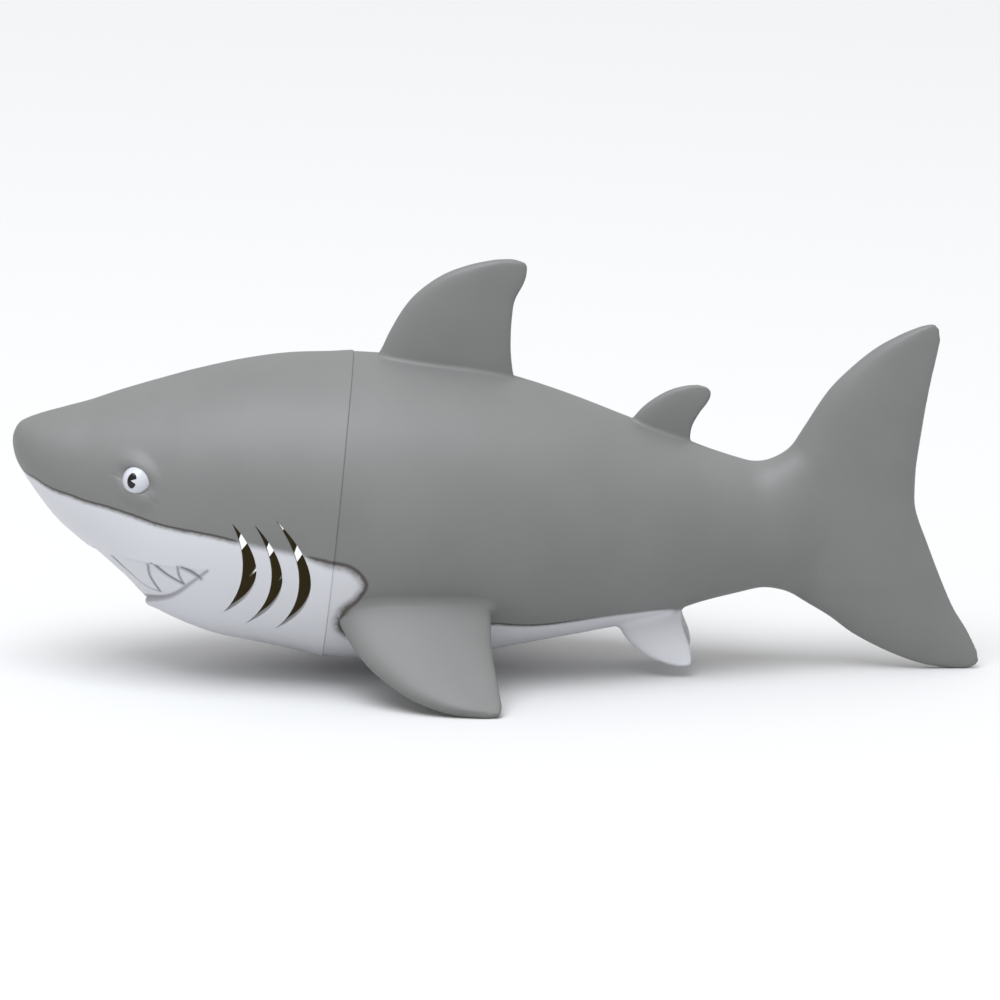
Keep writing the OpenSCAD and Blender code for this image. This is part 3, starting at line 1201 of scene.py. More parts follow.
@dataclass(frozen=True)
class GillTree:
    """Cuts crescent slots square to a skin that is in millimetres in the shark's frame."""

    rows: int = 41
    girth_radius: float = 71.5
    axis_height: float = -1.0

    def cutter(self) -> bpy.types.NodeTree:
        """A group that makes one crescent prism from its named sizes, on the side given.

        Returns:
            The group.
        """
        tree = bpy.data.node_groups.new("gill slot cutter", "GeometryNodeTree")
        for name in ("Side", "Tip S", "Tip U", "Lean", "Height", "Front bow", "Rear bow"):
            tree.interface.new_socket(name, in_out="INPUT", socket_type="NodeSocketFloat")
        tree.interface.new_socket("Prism", in_out="OUTPUT", socket_type="NodeSocketGeometry")
        given = add(tree, "NodeGroupInput").outputs
        block = add(tree, "GeometryNodeMeshCube",
                    {"Size": (1, 1, 1), "Vertices X": 2, "Vertices Y": 2, "Vertices Z": self.rows})
        spot = add(tree, "GeometryNodeInputPosition").outputs[0]
        value = {socket.name: socket for socket in given}
        value |= zip("xyz", add(tree, "ShaderNodeSeparateXYZ", {0: spot}).outputs)
        steps = (
            ("down", "SUBTRACT", 0.5, "z"), ("rear", "ADD", "x", 0.5),
            ("spread", "SUBTRACT", "Rear bow", "Front bow"),
            ("bow", "MULTIPLY_ADD", "rear", "spread", "Front bow"),
            ("arch", "SUBTRACT", 1.0, "down"), ("arch", "MULTIPLY", "down", "arch"),
            ("arch", "MULTIPLY", "arch", 4.0), ("s", "MULTIPLY_ADD", "Lean", "down", "Tip S"),
            ("s", "MULTIPLY_ADD", "arch", "bow", "s"), ("rise", "MULTIPLY", "Height", "down"),
            ("rise", "SUBTRACT", "Tip U", "rise"), ("rise", "SUBTRACT", "rise", self.axis_height),
            ("off", "MULTIPLY", "rise", "rise"), ("off", "SUBTRACT", self.girth_radius**2, "off"),
            ("off", "SQRT", "off"), ("reach", "MULTIPLY_ADD", "y", 0.4, 1.0),
            ("off", "MULTIPLY", "off", "reach"), ("off", "MULTIPLY", "off", "Side"),
            ("u", "MULTIPLY_ADD", "rise", "reach", self.axis_height))
        for result, operation, *terms in steps:
            inputs = {slot: value.get(term, term) for slot, term in enumerate(terms)}
            value[result] = add(tree, "ShaderNodeMath", inputs, operation=operation).outputs[0]
        goal = add(tree, "ShaderNodeCombineXYZ",
                   {0: value["s"], 1: value["off"], 2: value["u"]}).outputs[0]
        bent = add(tree, "GeometryNodeSetPosition",
                   {"Geometry": block.outputs["Mesh"], "Position": goal}).outputs[0]
        clean = add(tree, "GeometryNodeMergeByDistance", {"Distance": 0.001, 0: bent}).outputs[0]
        other = add(tree, "FunctionNodeCompare", {0: given["Side"], 1: 0.0}, data_type="FLOAT",
                    operation="LESS_THAN").outputs[0]
        facing = add(tree, "GeometryNodeFlipFaces", {0: clean, 1: other}).outputs[0]
        add(tree, "NodeGroupOutput", {0: facing})
        return tree

    def build(self, skin: bpy.types.Material) -> bpy.types.NodeTree:
        """The whole tree, whose one input is the uncut skin.

        Args:
            skin: The sprayed vinyl.

        Returns:
            The tree.
        """
        cutter = self.cutter()
        tree = bpy.data.node_groups.new("gill slots", "GeometryNodeTree")
        tree.interface.new_socket("Skin", in_out="INPUT", socket_type="NodeSocketGeometry")
        tree.interface.new_socket("Slot height", in_out="INPUT", socket_type="NodeSocketFloat")
        tree.interface.new_socket("Slotted", in_out="OUTPUT", socket_type="NodeSocketGeometry")
        given = add(tree, "NodeGroupInput").outputs
        joined = add(tree, "GeometryNodeJoinGeometry")
        for slot, side in itertools.product(GILL_SLOTS, Side):
            height = add(tree, "ShaderNodeMath", {0: given["Slot height"], 1: slot.share},
                         operation="MULTIPLY").outputs[0]
            group = add(tree, "GeometryNodeGroup", node_tree=cutter)
            tip_s, tip_u = slot.tip
            for key, size in (("Side", side.value), ("Tip S", tip_s), ("Tip U", tip_u),
                              ("Lean", slot.lean), ("Front bow", slot.front_bow),
                              ("Rear bow", slot.rear_bow)):
                group.inputs[key].default_value = size
            tree.links.new(height, group.inputs["Height"])
            tree.links.new(group.outputs[0], joined.inputs[0])
        cut = add(tree, "GeometryNodeMeshBoolean",
                  {"Mesh 1": given["Skin"], "Mesh 2": joined.outputs[0]}, operation="DIFFERENCE",
                  solver="MANIFOLD").outputs[0]
        real = add(tree, "GeometryNodeRealizeInstances", {0: cut}).outputs[0]
        dressed = add(tree, "GeometryNodeSetMaterial", {"Material": skin, "Geometry": real})
        add(tree, "NodeGroupOutput", {0: dressed.outputs[0]})
        return tree


class RibTree:
    """Radial ribs set round a disc, in millimetres, with the disc's axis along X."""

    def build(self, plastic: bpy.types.Material) -> bpy.types.NodeTree:
        """The tree, which adds its ribs to the disc that it is given.

        Args:
            plastic: The rings' plastic.

        Returns:
            The tree.
        """
        tree = bpy.data.node_groups.new("bulkhead ribs", "GeometryNodeTree")
        tree.interface.new_socket("Disc", in_out="INPUT", socket_type="NodeSocketGeometry")
        for name in ("Inner radius", "Length", "Width", "Rise", "Face"):
            tree.interface.new_socket(name, in_out="INPUT", socket_type="NodeSocketFloat")
        tree.interface.new_socket("Count", in_out="INPUT", socket_type="NodeSocketInt")
        tree.interface.new_socket("Ribbed", in_out="OUTPUT", socket_type="NodeSocketGeometry")
        given = add(tree, "NodeGroupInput").outputs
        size = add(tree, "ShaderNodeCombineXYZ",
                   {0: given["Rise"], 1: given["Width"], 2: given["Length"]}).outputs[0]
        rib = add(tree, "GeometryNodeMeshCube", {"Size": size}).outputs[0]
        half_long = add(tree, "ShaderNodeMath",
                        {0: given["Length"], 1: 0.5, 2: given["Inner radius"]},
                        operation="MULTIPLY_ADD").outputs[0]
        half_rise = add(tree, "ShaderNodeMath", {0: given["Rise"], 1: 0.5, 2: given["Face"]},
                        operation="MULTIPLY_ADD").outputs[0]
        shift = add(tree, "ShaderNodeCombineXYZ", {0: half_rise, 2: half_long}).outputs[0]
        placed = add(tree, "GeometryNodeTransform", {"Geometry": rib, "Translation": shift})
        line = add(tree, "GeometryNodeMeshLine", {"Count": given["Count"]})
        spots = add(tree, "GeometryNodeSetPosition", {"Position": (0, 0, 0), 0: line.outputs[0]})
        number = add(tree, "GeometryNodeInputIndex").outputs[0]
        turn = add(tree, "ShaderNodeMath", {0: number, 1: given["Count"]}, operation="DIVIDE")
        turn = add(tree, "ShaderNodeMath", {0: turn.outputs[0], 1: math.tau}, operation="MULTIPLY")
        spin = add(tree, "ShaderNodeCombineXYZ", {0: turn.outputs[0]}).outputs[0]
        ribs = add(tree, "GeometryNodeInstanceOnPoints",
                   {"Points": spots.outputs[0], "Instance": placed.outputs[0], "Rotation": spin})
        both = add(tree, "GeometryNodeJoinGeometry", {0: ribs.outputs[0]})
        tree.links.new(given["Disc"], both.inputs[0])
        real = add(tree, "GeometryNodeRealizeInstances", {0: both.outputs[0]}).outputs[0]
        dressed = add(tree, "GeometryNodeSetMaterial", {"Material": plastic, "Geometry": real})
        add(tree, "NodeGroupOutput", {0: dressed.outputs[0]})
        return tree


def run_tree(shape: Shape, tree: bpy.types.NodeTree, **sizes: float) -> Shape:
    """Runs a Geometry Nodes tree on a shape.

    Args:
        shape: The shape given to the tree, in millimetres.
        tree: The tree.
        sizes: Its named inputs, with underscores for spaces.

    Returns:
        The tree's result as a plain shape.
    """
    mesh = bpy.data.meshes.new("raw")
    mesh.from_pydata(shape.points.tolist(), [], shape.faces)
    holder = bpy.data.objects.new("raw", mesh)
    bpy.context.scene.collection.objects.link(holder)
    modifier = holder.modifiers.new("nodes", "NODES")
    modifier.node_group = tree
    for socket in tree.interface.items_tree:
        if socket.in_out == "INPUT" and socket.name.replace(" ", "_") in sizes:
            modifier[socket.identifier] = sizes[socket.name.replace(" ", "_")]
    holder.update_tag()
    result = bpy.data.meshes.new_from_object(
        holder.evaluated_get(bpy.context.evaluated_depsgraph_get()))
    points = np.array([v.co for v in result.vertices], float)
    faces = [tuple(p.vertices) for p in result.polygons]
    bpy.data.objects.remove(holder)
    bpy.data.meshes.remove(mesh)
    bpy.data.meshes.remove(result)
    return Shape(points, faces)


# ---------------------------------------------------------------------------------------------
# Sub-assemblies


@dataclass
class HeadCasting:
    """The head: one closed skin with a wall, cut through by the gill slots."""

    turns: int = 440
    rim_round: float = 0.5
    proud: float = 0.6
    mouth: Mouth = field(default_factory=Mouth)
    seat: EyeSeat = field(default_factory=EyeSeat)

    def outer_places(self) -> Array:
        """Places of the outer rings: close together at the snout and over the mouth.

        Returns:
            The rings' places, from the snout to the rim.
        """
        snout = -165 + 39 * np.linspace(0, 1, 46) ** 1.8
        mouth = np.arange(-125.2, -58, 0.75)
        cheek = np.arange(-57, -self.rim_round - RIM_GAP, 1.6)
        return np.concatenate([snout, mouth, cheek, [-self.rim_round - RIM_GAP]])

    def turn_places(self) -> Array:
        """Angles round the head: closer together on the flanks' mouth and eyes.

        Returns:
            The angles, in radians.
        """
        even = np.radians(np.arange(720) / 2)
        angle = np.degrees(np.arcsin(np.sin(even)))
        weight = 1 + 1.1 * smoothstep(-66, -52, angle) * (1 - smoothstep(26, 40, angle))
        total = np.concatenate([[0], np.cumsum(weight)])
        goal = np.arange(self.turns) / self.turns * total[-1]
        return np.interp(goal, total, np.append(even, math.tau))

    def outer(self, places: Array, turn: Array) -> Array:
        """The outer skin with its relief.

        Args:
            places: The rings' places.
            turn: Angles round the head, in radians.

        Returns:
            A grid of points.
        """
        s = places[:, None] + 0.0 * turn
        base = HEAD.point(places[:, None], turn)
        angle = np.degrees(np.arcsin(np.clip(np.sin(turn), -1, 1))) + 0.0 * s
        relief = self.mouth.relief(s, angle) + self.seat.relief(s, angle)
        relief += self.proud * bell(s, 9.0)
        out = gradient(HEAD.distance, base.reshape(-1, 3)).reshape(base.shape)
        out /= np.maximum(np.linalg.norm(out, axis=-1, keepdims=True), 1e-6)
        return base + relief[..., None] * out

    def skin(self) -> Shape:
        """The closed skin before its slots are cut.

        Returns:
            The closed shape.
        """
        turn = self.turn_places()[None, :]
        rings = [self.outer(self.outer_places(), turn)]
        r = self.rim_round
        for a in (30, 60, 90):
            s, inset = r * (1 - math.sin(math.radians(a))), r * (1 - math.cos(math.radians(a)))
            rings.append(HEAD.point(np.full((1, 1), -RIM_GAP - s), turn, inset - self.proud))
        inner = -RIM_GAP - (165 - 1.5 * WALL) * np.linspace(0, 1, 26) ** 0.9
        rings.append(HEAD.point(inner[:, None], turn, WALL))
        grid = np.concatenate(rings, axis=0)
        rows, cols = grid.shape[:2]
        points = grid.reshape(-1, 3)
        faces = [tuple(range(cols))[::-1], tuple((rows - 1) * cols + k for k in range(cols))]
        for i in range(rows - 1):
            for k in range(cols):
                a, b = i * cols + k, i * cols + (k + 1) % cols
                faces.append((a, b, b + cols, a + cols))
        return Shape(points, [f[::-1] for f in faces])

    def build(self, skin: bpy.types.Material, raw: bpy.types.Material) -> bpy.types.Object:
        """Builds the head and dresses it.

        Args:
            skin: The sprayed vinyl.
            raw: The bare vinyl.

        Returns:
            The dressed head, not yet on its body.
        """
        slotted = run_tree(self.skin(), GillTree().build(skin), Slot_height=60.0)
        piece = add_piece("head_skin", slotted, skin, raw)
        mesh = piece.data
        points = shark_points(mesh)
        s, angle = points[:, 0], angle_of(*points.T)
        store_paint(mesh, belly_distance(s, angle), s, self.mouth.crease(s, angle))
        deep = HEAD.distance(*points.T) < 0.2 - WALL
        for face in mesh.polygons:
            face.material_index = int(deep[list(face.vertices)].all())
        sharpen(mesh, 42)
        return piece


def store_paint(mesh: bpy.types.Mesh, paint: Array, s: Array, crease: Array) -> None:
    """Stores what the sprayed vinyl reads.

    Args:
        mesh: The finished mesh.
        paint: Distance to the paint's edge, negative on the white.
        s: Places along the shark.
        crease: How much painted shade darkens the mouth's grooves.
    """
    store(mesh, "paint", paint)
    # The paint's edge, then the strength of the painted shade along and beside it, and the painted
    # shade in the mouth's grooves.
    store(mesh, "line", line_strength(s))
    store(mesh, "spray", edge_shade_strength(s))
    store(mesh, "crease", crease)


def sharpen(mesh: bpy.types.Mesh, degrees: float) -> None:
    """Marks the edges that bend by more than an angle as sharp.

    Args:
        mesh: The finished mesh.
        degrees: The least bend that counts as sharp.
    """
    bm = bmesh.new()
    bm.from_mesh(mesh)
    limit = math.radians(degrees)
    for edge in bm.edges:
        if edge.is_manifold and edge.calc_face_angle(0) > limit:
            edge.smooth = False
    bm.to_mesh(mesh)
    bm.free()


@dataclass
class BodyCasting:
    """The body with its tail, and the fins welded to it."""

    step: float = 1.6
    fin_step: float = 1.0
    rim_round: float = 0.25
    sink: float = 0.5

    def trunk_shape(self) -> Shape:
        """The body casting: outer skin, rounded rim and the cavity's wall.

        Returns:
            The closed shape.
        """
        lip = self.rim_round
        net = surface_net(trunk, np.array([-4.0, -80, -82]), np.array([330.0, 80, 126]), self.step)
        bm = bmesh.new()
        verts = [bm.verts.new(p) for p in net.points]
        for face in net.faces:
            bm.faces.new([verts[i] for i in face])
        parts = bm.verts[:] + bm.edges[:] + bm.faces[:]
        bmesh.ops.bisect_plane(bm, geom=parts, plane_co=(lip, 0, 0), plane_no=(1, 0, 0),
                               clear_inner=True)
        stray = [v for v in bm.verts if not v.link_faces]
        bmesh.ops.delete(bm, geom=stray, context="VERTS")
        bm.verts.index_update()
        outer = len(bm.verts)
        edges = [e for e in bm.edges if e.is_boundary]
        rings = [(0.3 * lip, 0.3 * lip), (0.0, lip), (0.0, WALL)]
        for q in np.linspace(0.04, 1, 22):
            rings.append((q * CAVITY_END, WALL + (TAIL_WALL - WALL) * q**2))
        for s, inset in rings:
            made = bmesh.ops.extrude_edge_only(bm, edges=edges)["geom"]
            edges = [g for g in made if isinstance(g, bmesh.types.BMEdge)]
            fresh = [g for g in made if isinstance(g, bmesh.types.BMVert)]
            old = np.array([v.co for v in fresh])
            centre, tall, wide = BODY.sections(old[:, 0])
            turn = np.arctan2((old[:, 2] - centre) / tall, -old[:, 1] / wide)
            for vert, spot in zip(fresh, BODY.point(np.full(len(old), s), turn, inset)):
                vert.co = spot
        bmesh.ops.holes_fill(bm, edges=edges, sides=0)
        bmesh.ops.recalc_face_normals(bm, faces=bm.faces[:])
        return self.read(bm, trunk, outer)

    def read(self, bm: bmesh.types.BMesh, distance: Distance, outer: int) -> Shape:
        """Reads a bmesh as a shape, in an order that does not change from run to run.

        Args:
            bm: The bmesh, which is freed.
            distance: The distance whose 0 is the outer surface.
            outer: How many of the first points have the true surface's normals.

        Returns:
            The shape.
        """
        bm.verts.index_update()
        points = np.array([v.co for v in bm.verts])
        faces = [tuple(v.index for v in f.verts) for f in bm.faces]
        bm.free()
        normals = np.zeros_like(points)
        slope = gradient(distance, points[:outer])
        normals[:outer] = slope / np.maximum(np.linalg.norm(slope, axis=1, keepdims=True), 1e-6)
        order = np.lexsort(points.T)
        rank = np.argsort(order)
        faces = sorted((tuple(int(rank[k]) for k in face) for face in faces), key=sorted)
        return Shape(points[order], faces, normals[order])

    def fin_shape(self, fin: Fin, low: Array, high: Array) -> Shape:
        """One fin with its soft root, closed by a skirt that sinks into the body's skin.

        Args:
            fin: The fin.
            low: Lowest corner of a box round the fin.
            high: Its highest corner.

        Returns:
            The closed shape.
        """
        distance = with_fin(fin)
        net = surface_net(distance, low, high, self.fin_step)
        faces = np.array(net.faces)
        middle = net.points[faces].mean(axis=1)
        faces = faces[trunk(*middle.T) > 0.04]
        used, renumbered = np.unique(faces, return_inverse=True)
        bm = bmesh.new()
        verts = [bm.verts.new(p) for p in net.points[used]]
        for face in renumbered.reshape(faces.shape):
            bm.faces.new([verts[i] for i in face])
        largest_island(bm)
        bm.verts.index_update()
        outer = len(bm.verts)
        edges = [e for e in bm.edges if e.is_boundary]
        made = bmesh.ops.extrude_edge_only(bm, edges=edges)["geom"]
        fresh = [g for g in made if isinstance(g, bmesh.types.BMVert)]
        spots = np.array([v.co for v in fresh])
        slope = gradient(trunk, spots)
        for vert, spot in zip(fresh, spots - self.sink * slope):
            vert.co = spot
        rim = [g for g in made if isinstance(g, bmesh.types.BMEdge)]
        bmesh.ops.holes_fill(bm, edges=rim, sides=0)
        bmesh.ops.recalc_face_normals(bm, faces=bm.faces[:])
        return self.read(bm, distance, outer)

    def build(self, skin: bpy.types.Material, raw: bpy.types.Material) -> None:
        """Builds the body and its fins, and dresses and mounts them.

        Args:
            skin: The sprayed vinyl.
            raw: The bare vinyl.
        """
        body = add_piece("body_skin", self.trunk_shape(), skin, raw)
        points = shark_points(body.data)
        s, angle = points[:, 0], angle_of(*points.T)
        store_paint(body.data, belly_distance(s, angle), s, 0 * s)
        deep = (trunk(*points.T) < -1.6) & (s < CAVITY_END + 4)
        for face in body.data.polygons:
            face.material_index = int(deep[list(face.vertices)].any())
        join_body(body, "body", "grey_vinyl", "body_shell")
        boxes = {
            DORSAL: ((0, -16, 60), (96, 16, 137)), REAR_DORSAL: ((130, -10, 38), (186, 10, 84)),
            PECTORAL: ((-1, 20, -84), (96, 116, -20)), PELVIC: ((134, 4, -70), (190, 32, -22))}
        for fin, (low, high) in boxes.items():
            shape = self.fin_shape(fin, np.array(low, float), np.array(high, float))
            if fin.plane is Plane.UPRIGHT:
                self.mount_fin(fin.node, shape, fin, skin)
            else:
                self.mount_fin(fin.node + "_right", shape, fin, skin)
                self.mount_fin(fin.node + "_left", shape.mirrored(), fin, skin)

    def mount_fin(self, node: str, shape: Shape, fin: Fin, skin: bpy.types.Material) -> None:
        """Adds one fin, painted to suit its place.

        Args:
            node: The CAD node it stands in for.
            shape: The shape in the shark's frame.
            fin: The fin.
            skin: The sprayed vinyl.
        """
        piece = add_piece(node + "_skin", shape, skin)
        points = shark_points(piece.data)
        paint = belly_distance(points[:, 0], angle_of(*points.T))
        off = trunk(*points.T)
        if fin is PECTORAL:
            paint = np.maximum(paint, off - 2.0)
        elif fin is PELVIC:
            paint = np.minimum(paint, 1.0 - off)
        store_paint(piece.data, paint, points[:, 0], 0 * off)
        join_body(piece, "body", "white_vinyl" if fin is PELVIC else "grey_vinyl", node)


def largest_island(bm: bmesh.types.BMesh) -> None:
    """Deletes all but the largest connected part.

    Args:
        bm: The bmesh.
    """
    left, islands = set(bm.verts), []
    while left:
        seed = left.pop()
        island, front = {seed}, [seed]
        while front:
            for edge in front.pop().link_edges:
                for vert in edge.verts:
                    if vert in left:
                        left.discard(vert)
                        island.add(vert)
                        front.append(vert)
        islands.append(island)
    islands.sort(key=len)
    stray = [v for island in islands[:-1] for v in island]
    bmesh.ops.delete(bm, geom=stray, context="VERTS")


@dataclass
class Eye:
    """A ball under the lids, with an oval pupil that has a wedge cut out of its rear."""

    side: Side
    seat: EyeSeat = field(default_factory=EyeSeat)
    rings: int = 64
    segments: int = 128
    gaze: tuple[float, float, float] = (-0.42, -0.885, 0.2)
    pupil: tuple[float, float] = (2.5, 3.9)
    wedge: float = 24.0

    def centre(self) -> Array:
        """The ball's centre, on the left flank.

        Returns:
            The centre's S, Y and U.
        """
        turn = math.radians(self.seat.angle)
        spot = HEAD.point(np.array(self.seat.s), np.array(turn))
        slope = gradient(HEAD.distance, spot[None])[0]
        return spot - self.seat.depth * slope / np.linalg.norm(slope)

    def pupil_distance(self, ray: Array) -> Array:
        """Distance from the pupil's edge on the ball, negative on the ink.

        Args:
            ray: Directions from the ball's centre.

        Returns:
            The distances.
        """
        gaze = STANCE.basis @ np.array(self.gaze)
        gaze /= np.linalg.norm(gaze)
        up = np.array([0.0, 0.0, 1.0]) - gaze[2] * gaze
        up /= np.linalg.norm(up)
        rear = np.cross(gaze, up)
        rear *= np.sign(rear[0])
        x, z = self.seat.ball * ray @ rear, self.seat.ball * ray @ up
        wide, tall = self.pupil
        near = np.hypot(x / wide, z / tall)
        oval = near * (near - 1) / np.maximum(np.hypot(x / wide**2, z / tall**2), 1e-3)
        w = math.radians(self.wedge)
        cut = (x + 0.5) * math.sin(w) - np.abs(z) * math.cos(w)
        oval = np.maximum(oval, cut)
        return np.where(ray @ gaze > 0, oval, 9.0)

    def build(self, gloss: bpy.types.Material) -> None:
        """Builds the ball, dresses it and mounts it.

        Args:
            gloss: The eyes' finish.
        """
        tilt = np.linspace(0, math.pi, self.rings + 1)[1:-1, None]
        turn = np.linspace(0, math.tau, self.segments, endpoint=False)[None, :]
        ray = np.stack([np.sin(tilt) * np.cos(turn), np.sin(tilt) * np.sin(turn),
                        np.cos(tilt) + 0 * turn], axis=-1).reshape(-1, 3)
        ray = np.vstack([ray, (0, 0, 1), (0, 0, -1)])
        rows, n = self.rings - 1, self.segments
        faces = [(i * n + k, (i + 1) * n + k, (i + 1) * n + (k + 1) % n, i * n + (k + 1) % n)
                 for i in range(rows - 1) for k in range(n)]
        faces += [(rows * n, k, (k + 1) % n) for k in range(n)]
        last = (rows - 1) * n
        faces += [(rows * n + 1, last + (k + 1) % n, last + k) for k in range(n)]
        shape = Shape(self.centre() + self.seat.ball * ray, faces)
        if self.side is Side.RIGHT:
            shape = shape.mirrored()
        word = self.side.name.lower()
        piece = add_piece(f"eye_{word}_ball", shape, gloss)
        store(piece.data, "pupil", self.pupil_distance(ray))
        join_body(piece, "head", "eye_white", f"eye_{word}")


def turned(profile: Sequence[tuple[float, float]], segments: int = 192) -> Shape:
    """A ring turned about the shark's axis from a closed profile of radius and S.

    Args:
        profile: The profile's corners in order.
        segments: Number of faces round the ring.

    Returns:
        The closed ring.
    """
    turn = np.linspace(0, math.tau, segments, endpoint=False)[:, None]
    r, s = np.array(profile, float).T
    grid = np.stack([s + 0 * turn, r * np.cos(turn), r * np.sin(turn)], axis=-1)
    n = len(profile)
    faces = [(i * n + k, i * n + (k + 1) % n, ((i + 1) % segments) * n + (k + 1) % n,
              ((i + 1) % segments) * n + k) for i in range(segments) for k in range(n)]
    bm = bmesh.new()
    verts = [bm.verts.new(p) for p in grid.reshape(-1, 3)]
    for face in faces:
        bm.faces.new([verts[i] for i in face])
    bmesh.ops.recalc_face_normals(bm, faces=bm.faces[:])
    shape = Shape(np.array([v.co for v in bm.verts]), [tuple(v.index for v in f.verts)
                                                       for f in bm.faces])
    bm.free()
    return shape


def softened(profile: Sequence[tuple[float, float]],
             radius: float = 0.3) -> list[tuple[float, float]]:
    """A closed profile with a small bevel on each corner.

    Args:
        profile: The profile's corners in order.
        radius: Length cut off each side of a corner.

    Returns:
        The bevelled profile.
    """
    p = np.array(profile, float)
    result = []
    for before, here, after in zip(np.roll(p, 1, 0), p, np.roll(p, -1, 0)):
        for there in (before, after):
            way = there - here
            reach = min(radius, 0.3 * np.hypot(*way))
            result.append(tuple(here + way / np.hypot(*way) * reach))
    return result


@dataclass
class NeckParts:
    """The rigid neck: ring with spigot, sleeve, seal and bulkhead."""

    spigot: float = 70.5
    length: float = 9.0
    running_gap: float = 0.08
    glue: float = 0.25
    shelf: float = 3.0
    seal: float = 1.25
    thickness: float = 2.0

    def ring_profile(self) -> list[tuple[float, float]]:
        """The neck ring's profile.

        Returns:
            The closed profile's corners.
        """
        outer = NECK_RADIUS - WALL - self.glue
        groove = self.spigot - 2 * self.seal - 0.05
        bore, mid, half = groove - 1.7, -self.length / 2, self.seal + 0.1
        return [
            (bore, -self.length), (self.spigot - 0.6, -self.length),
            (self.spigot, 0.6 - self.length), (self.spigot, mid - half), (groove, mid - half),
            (groove, mid + half), (self.spigot, mid + half), (self.spigot, 0.3), (outer, 0.3),
            (outer - 0.4, 10), (self.spigot + 0.3, 10), (self.spigot + 0.3, self.shelf),
            (bore, self.shelf)]

    def build(self, plastic: bpy.types.Material, rubber: bpy.types.Material) -> None:
        """Builds the four parts, dresses them and mounts them.

        Args:
            plastic: The rings' plastic.
            rubber: The seal's rubber.
        """
        outer = NECK_RADIUS - WALL - self.glue
        inner = self.spigot + self.running_gap
        sleeve = [(inner, -self.length), (outer - 1.8, -self.length), (outer - 0.1, -0.3),
                  (inner, -0.3)]
        self.mount("neck_ring", turned(softened(self.ring_profile(), 0.25)), plastic, "body")
        self.mount("head_sleeve", turned(softened(sleeve, 0.25)), plastic, "head")
        round_section = [(self.spigot + 0.03 - self.seal * (1 - math.cos(a)),
                          -self.length / 2 + self.seal * math.sin(a))
                         for a in np.linspace(0, math.tau, 24, endpoint=False)]
        seal = turned(round_section)
        piece = add_piece("neck_seal_ring", seal, rubber)
        join_body(piece, "seal", "seal_rubber", "neck_seal")
        self.mount("bulkhead", self.ribbed_disc(plastic), plastic, "body")

    def ribbed_disc(self, plastic: bpy.types.Material) -> Shape:
        """The bulkhead: a disc with a boss in front and ribs behind.

        Args:
            plastic: The rings' plastic.

        Returns:
            The ribbed shape.
        """
        face, back = self.shelf, self.shelf + self.thickness
        corners = [(0.01, face - 2), (9.2, face - 2), (10, face - 1.6), (10.4, face), (56, face),
                   (56.8, face - 0.9), (59.2, face - 0.9), (60, face), (self.spigot - 0.1, face),
                   (self.spigot - 0.1, back), (0.01, back)]
        disc = turned(softened(corners, 0.15))
        return run_tree(disc, RibTree().build(plastic), Inner_radius=8.0, Length=self.spigot - 14,
                        Width=2.5, Rise=2.5, Face=back - 0.1, Count=6)

    def mount(self, node: str, shape: Shape, plastic: bpy.types.Material, body: str) -> None:
        """Adds one rigid part in place of its CAD node.

        Args:
            node: The CAD node it stands in for.
            shape: The shape in the shark's frame.
            plastic: The rings' plastic.
            body: The body it rides on.
        """
        piece = add_piece(node + "_part", shape, plastic)
        sharpen(piece.data, 30)
        join_body(piece, body, "rigid_ring", node)


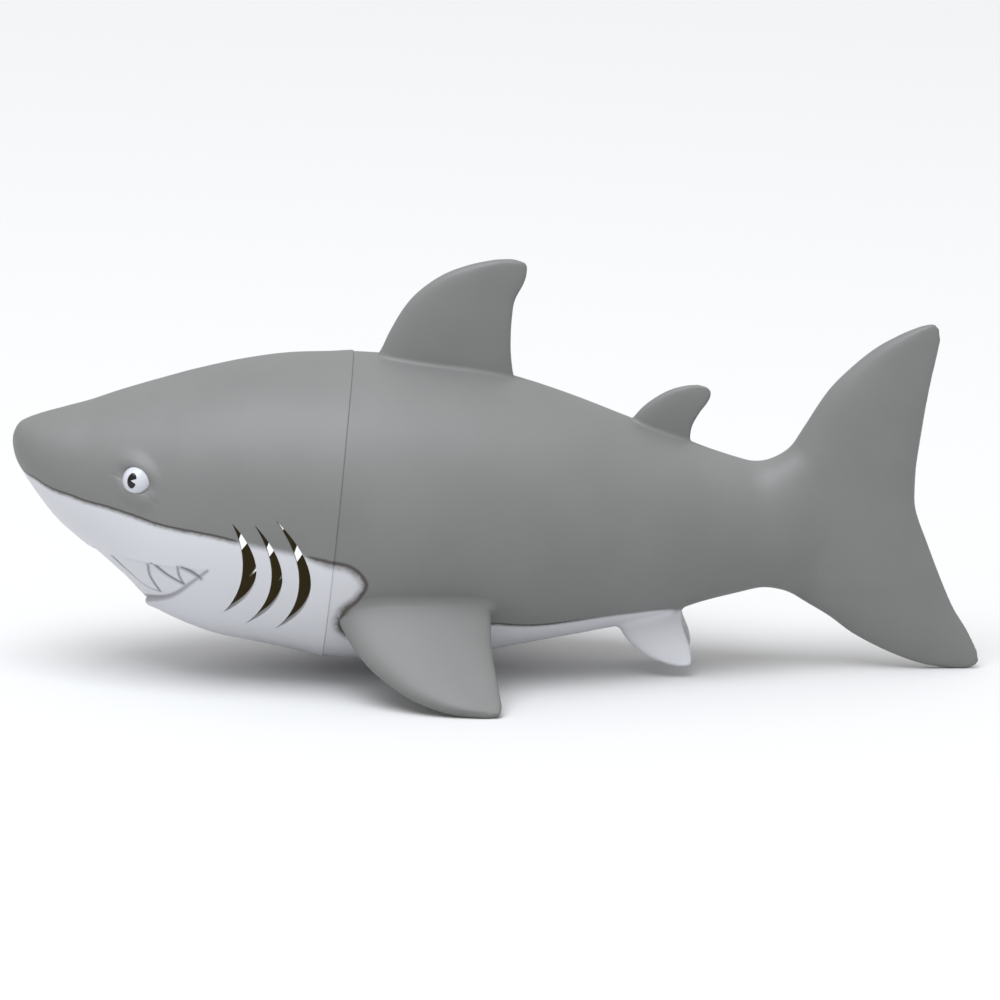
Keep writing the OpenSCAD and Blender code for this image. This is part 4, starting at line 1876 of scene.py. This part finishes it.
@dataclass
class Studio:
    """A pale floor, soft light from above and a long lens.

    Args:
        view: Width of what the camera sees at the shark.
        away: The camera's distance.
        elevation: The camera's angle above the horizontal, in degrees.
        aim: The point in the picture's middle.
        horizon: Brightness of the sky at the horizon.
        zenith: Brightness of the sky overhead.
    """

    view: float = 0.5
    away: float = 12.0
    elevation: float = 13.0
    aim: tuple[float, float, float] = (0.0021, 0.0, 0.0862)
    horizon: float = 0.5
    zenith: float = 1.0

    def lamp(self, name: str, place: tuple[float, float, float], size: float, watts: float,
             colour: str) -> None:
        """Adds a square soft lamp that faces the shark.

        Args:
            name: The lamp's name.
            place: Its place, in metres.
            size: The length of its side.
            watts: Its power.
            colour: Its colour, as an sRGB hex value.
        """
        data = bpy.data.lights.new(name, "AREA")
        data.shape = "SQUARE"
        data.size, data.energy = size, watts
        data.color = linear(colour)[:3]
        lamp = bpy.data.objects.new(name, data)
        lamp.location = place
        lamp.rotation_euler = (Vector(self.aim) - Vector(place)).to_track_quat("-Z", "Y").to_euler()
        bpy.context.scene.collection.objects.link(lamp)

    def sky(self) -> bpy.types.World:
        """A plain sky that is brighter overhead than at the horizon.

        Returns:
            The world.
        """
        world = bpy.data.worlds.new("soft sky")
        world.use_nodes = True
        tree = world.node_tree
        way = add(tree, "ShaderNodeTexCoord").outputs["Generated"]
        height = add(tree, "ShaderNodeSeparateXYZ", {0: way}).outputs[2]
        power = add(tree, "ShaderNodeMapRange",
                    {"To Min": self.horizon, "To Max": self.zenith, "Value": height}).outputs[0]
        tree.links.new(power, tree.nodes["Background"].inputs["Strength"])
        tree.nodes["Background"].inputs["Color"].default_value = linear("#ffffff")
        return world

    def build(self) -> None:
        """Builds the floor, the lamps, the sky and the camera."""
        scene = bpy.context.scene
        mesh = bpy.data.meshes.new("floor")
        far = 40.0
        mesh.from_pydata([(-far, -far, 0), (far, -far, 0), (far, far, 0), (-far, far, 0)], [],
                         [(0, 1, 2, 3)])
        mesh.materials.append(PaleFloor().build())
        floor = bpy.data.objects.new("floor", mesh)
        scene.collection.objects.link(floor)
        scene.world = self.sky()
        self.lamp("overhead softbox", (-0.9, -1.6, 5.0), 4.0, 245, "#f6faff")
        scene.view_settings.view_transform = "Standard"
        data = bpy.data.cameras.new("camera")
        data.lens = data.sensor_width * self.away / self.view
        camera = bpy.data.objects.new("camera", data)
        tilt = math.radians(self.elevation)
        outward = Vector((0, -math.cos(tilt), math.sin(tilt)))
        camera.location = Vector(self.aim) + self.away * outward
        camera.rotation_euler = (math.radians(90) - tilt, 0, 0)
        scene.collection.objects.link(camera)
        scene.camera = camera


def main() -> None:
    """Builds the studio and every piece, in order."""
    logging.basicConfig(level=logging.INFO, format="%(name)s: %(message)s")
    Studio().build()
    skin, raw = PaintedVinyl().build(), RawVinyl().build()
    head = HeadCasting().build(skin, raw)
    join_body(head, "head", "grey_vinyl", "head_shell")
    BodyCasting(step=1.6).build(skin, raw)
    gloss = EyeGloss().build()
    for side in Side:
        Eye(side).build(gloss)
    NeckParts().build(MouldedPlastic().build(), SealRubber().build())


if __name__ == "__main__":
    main()
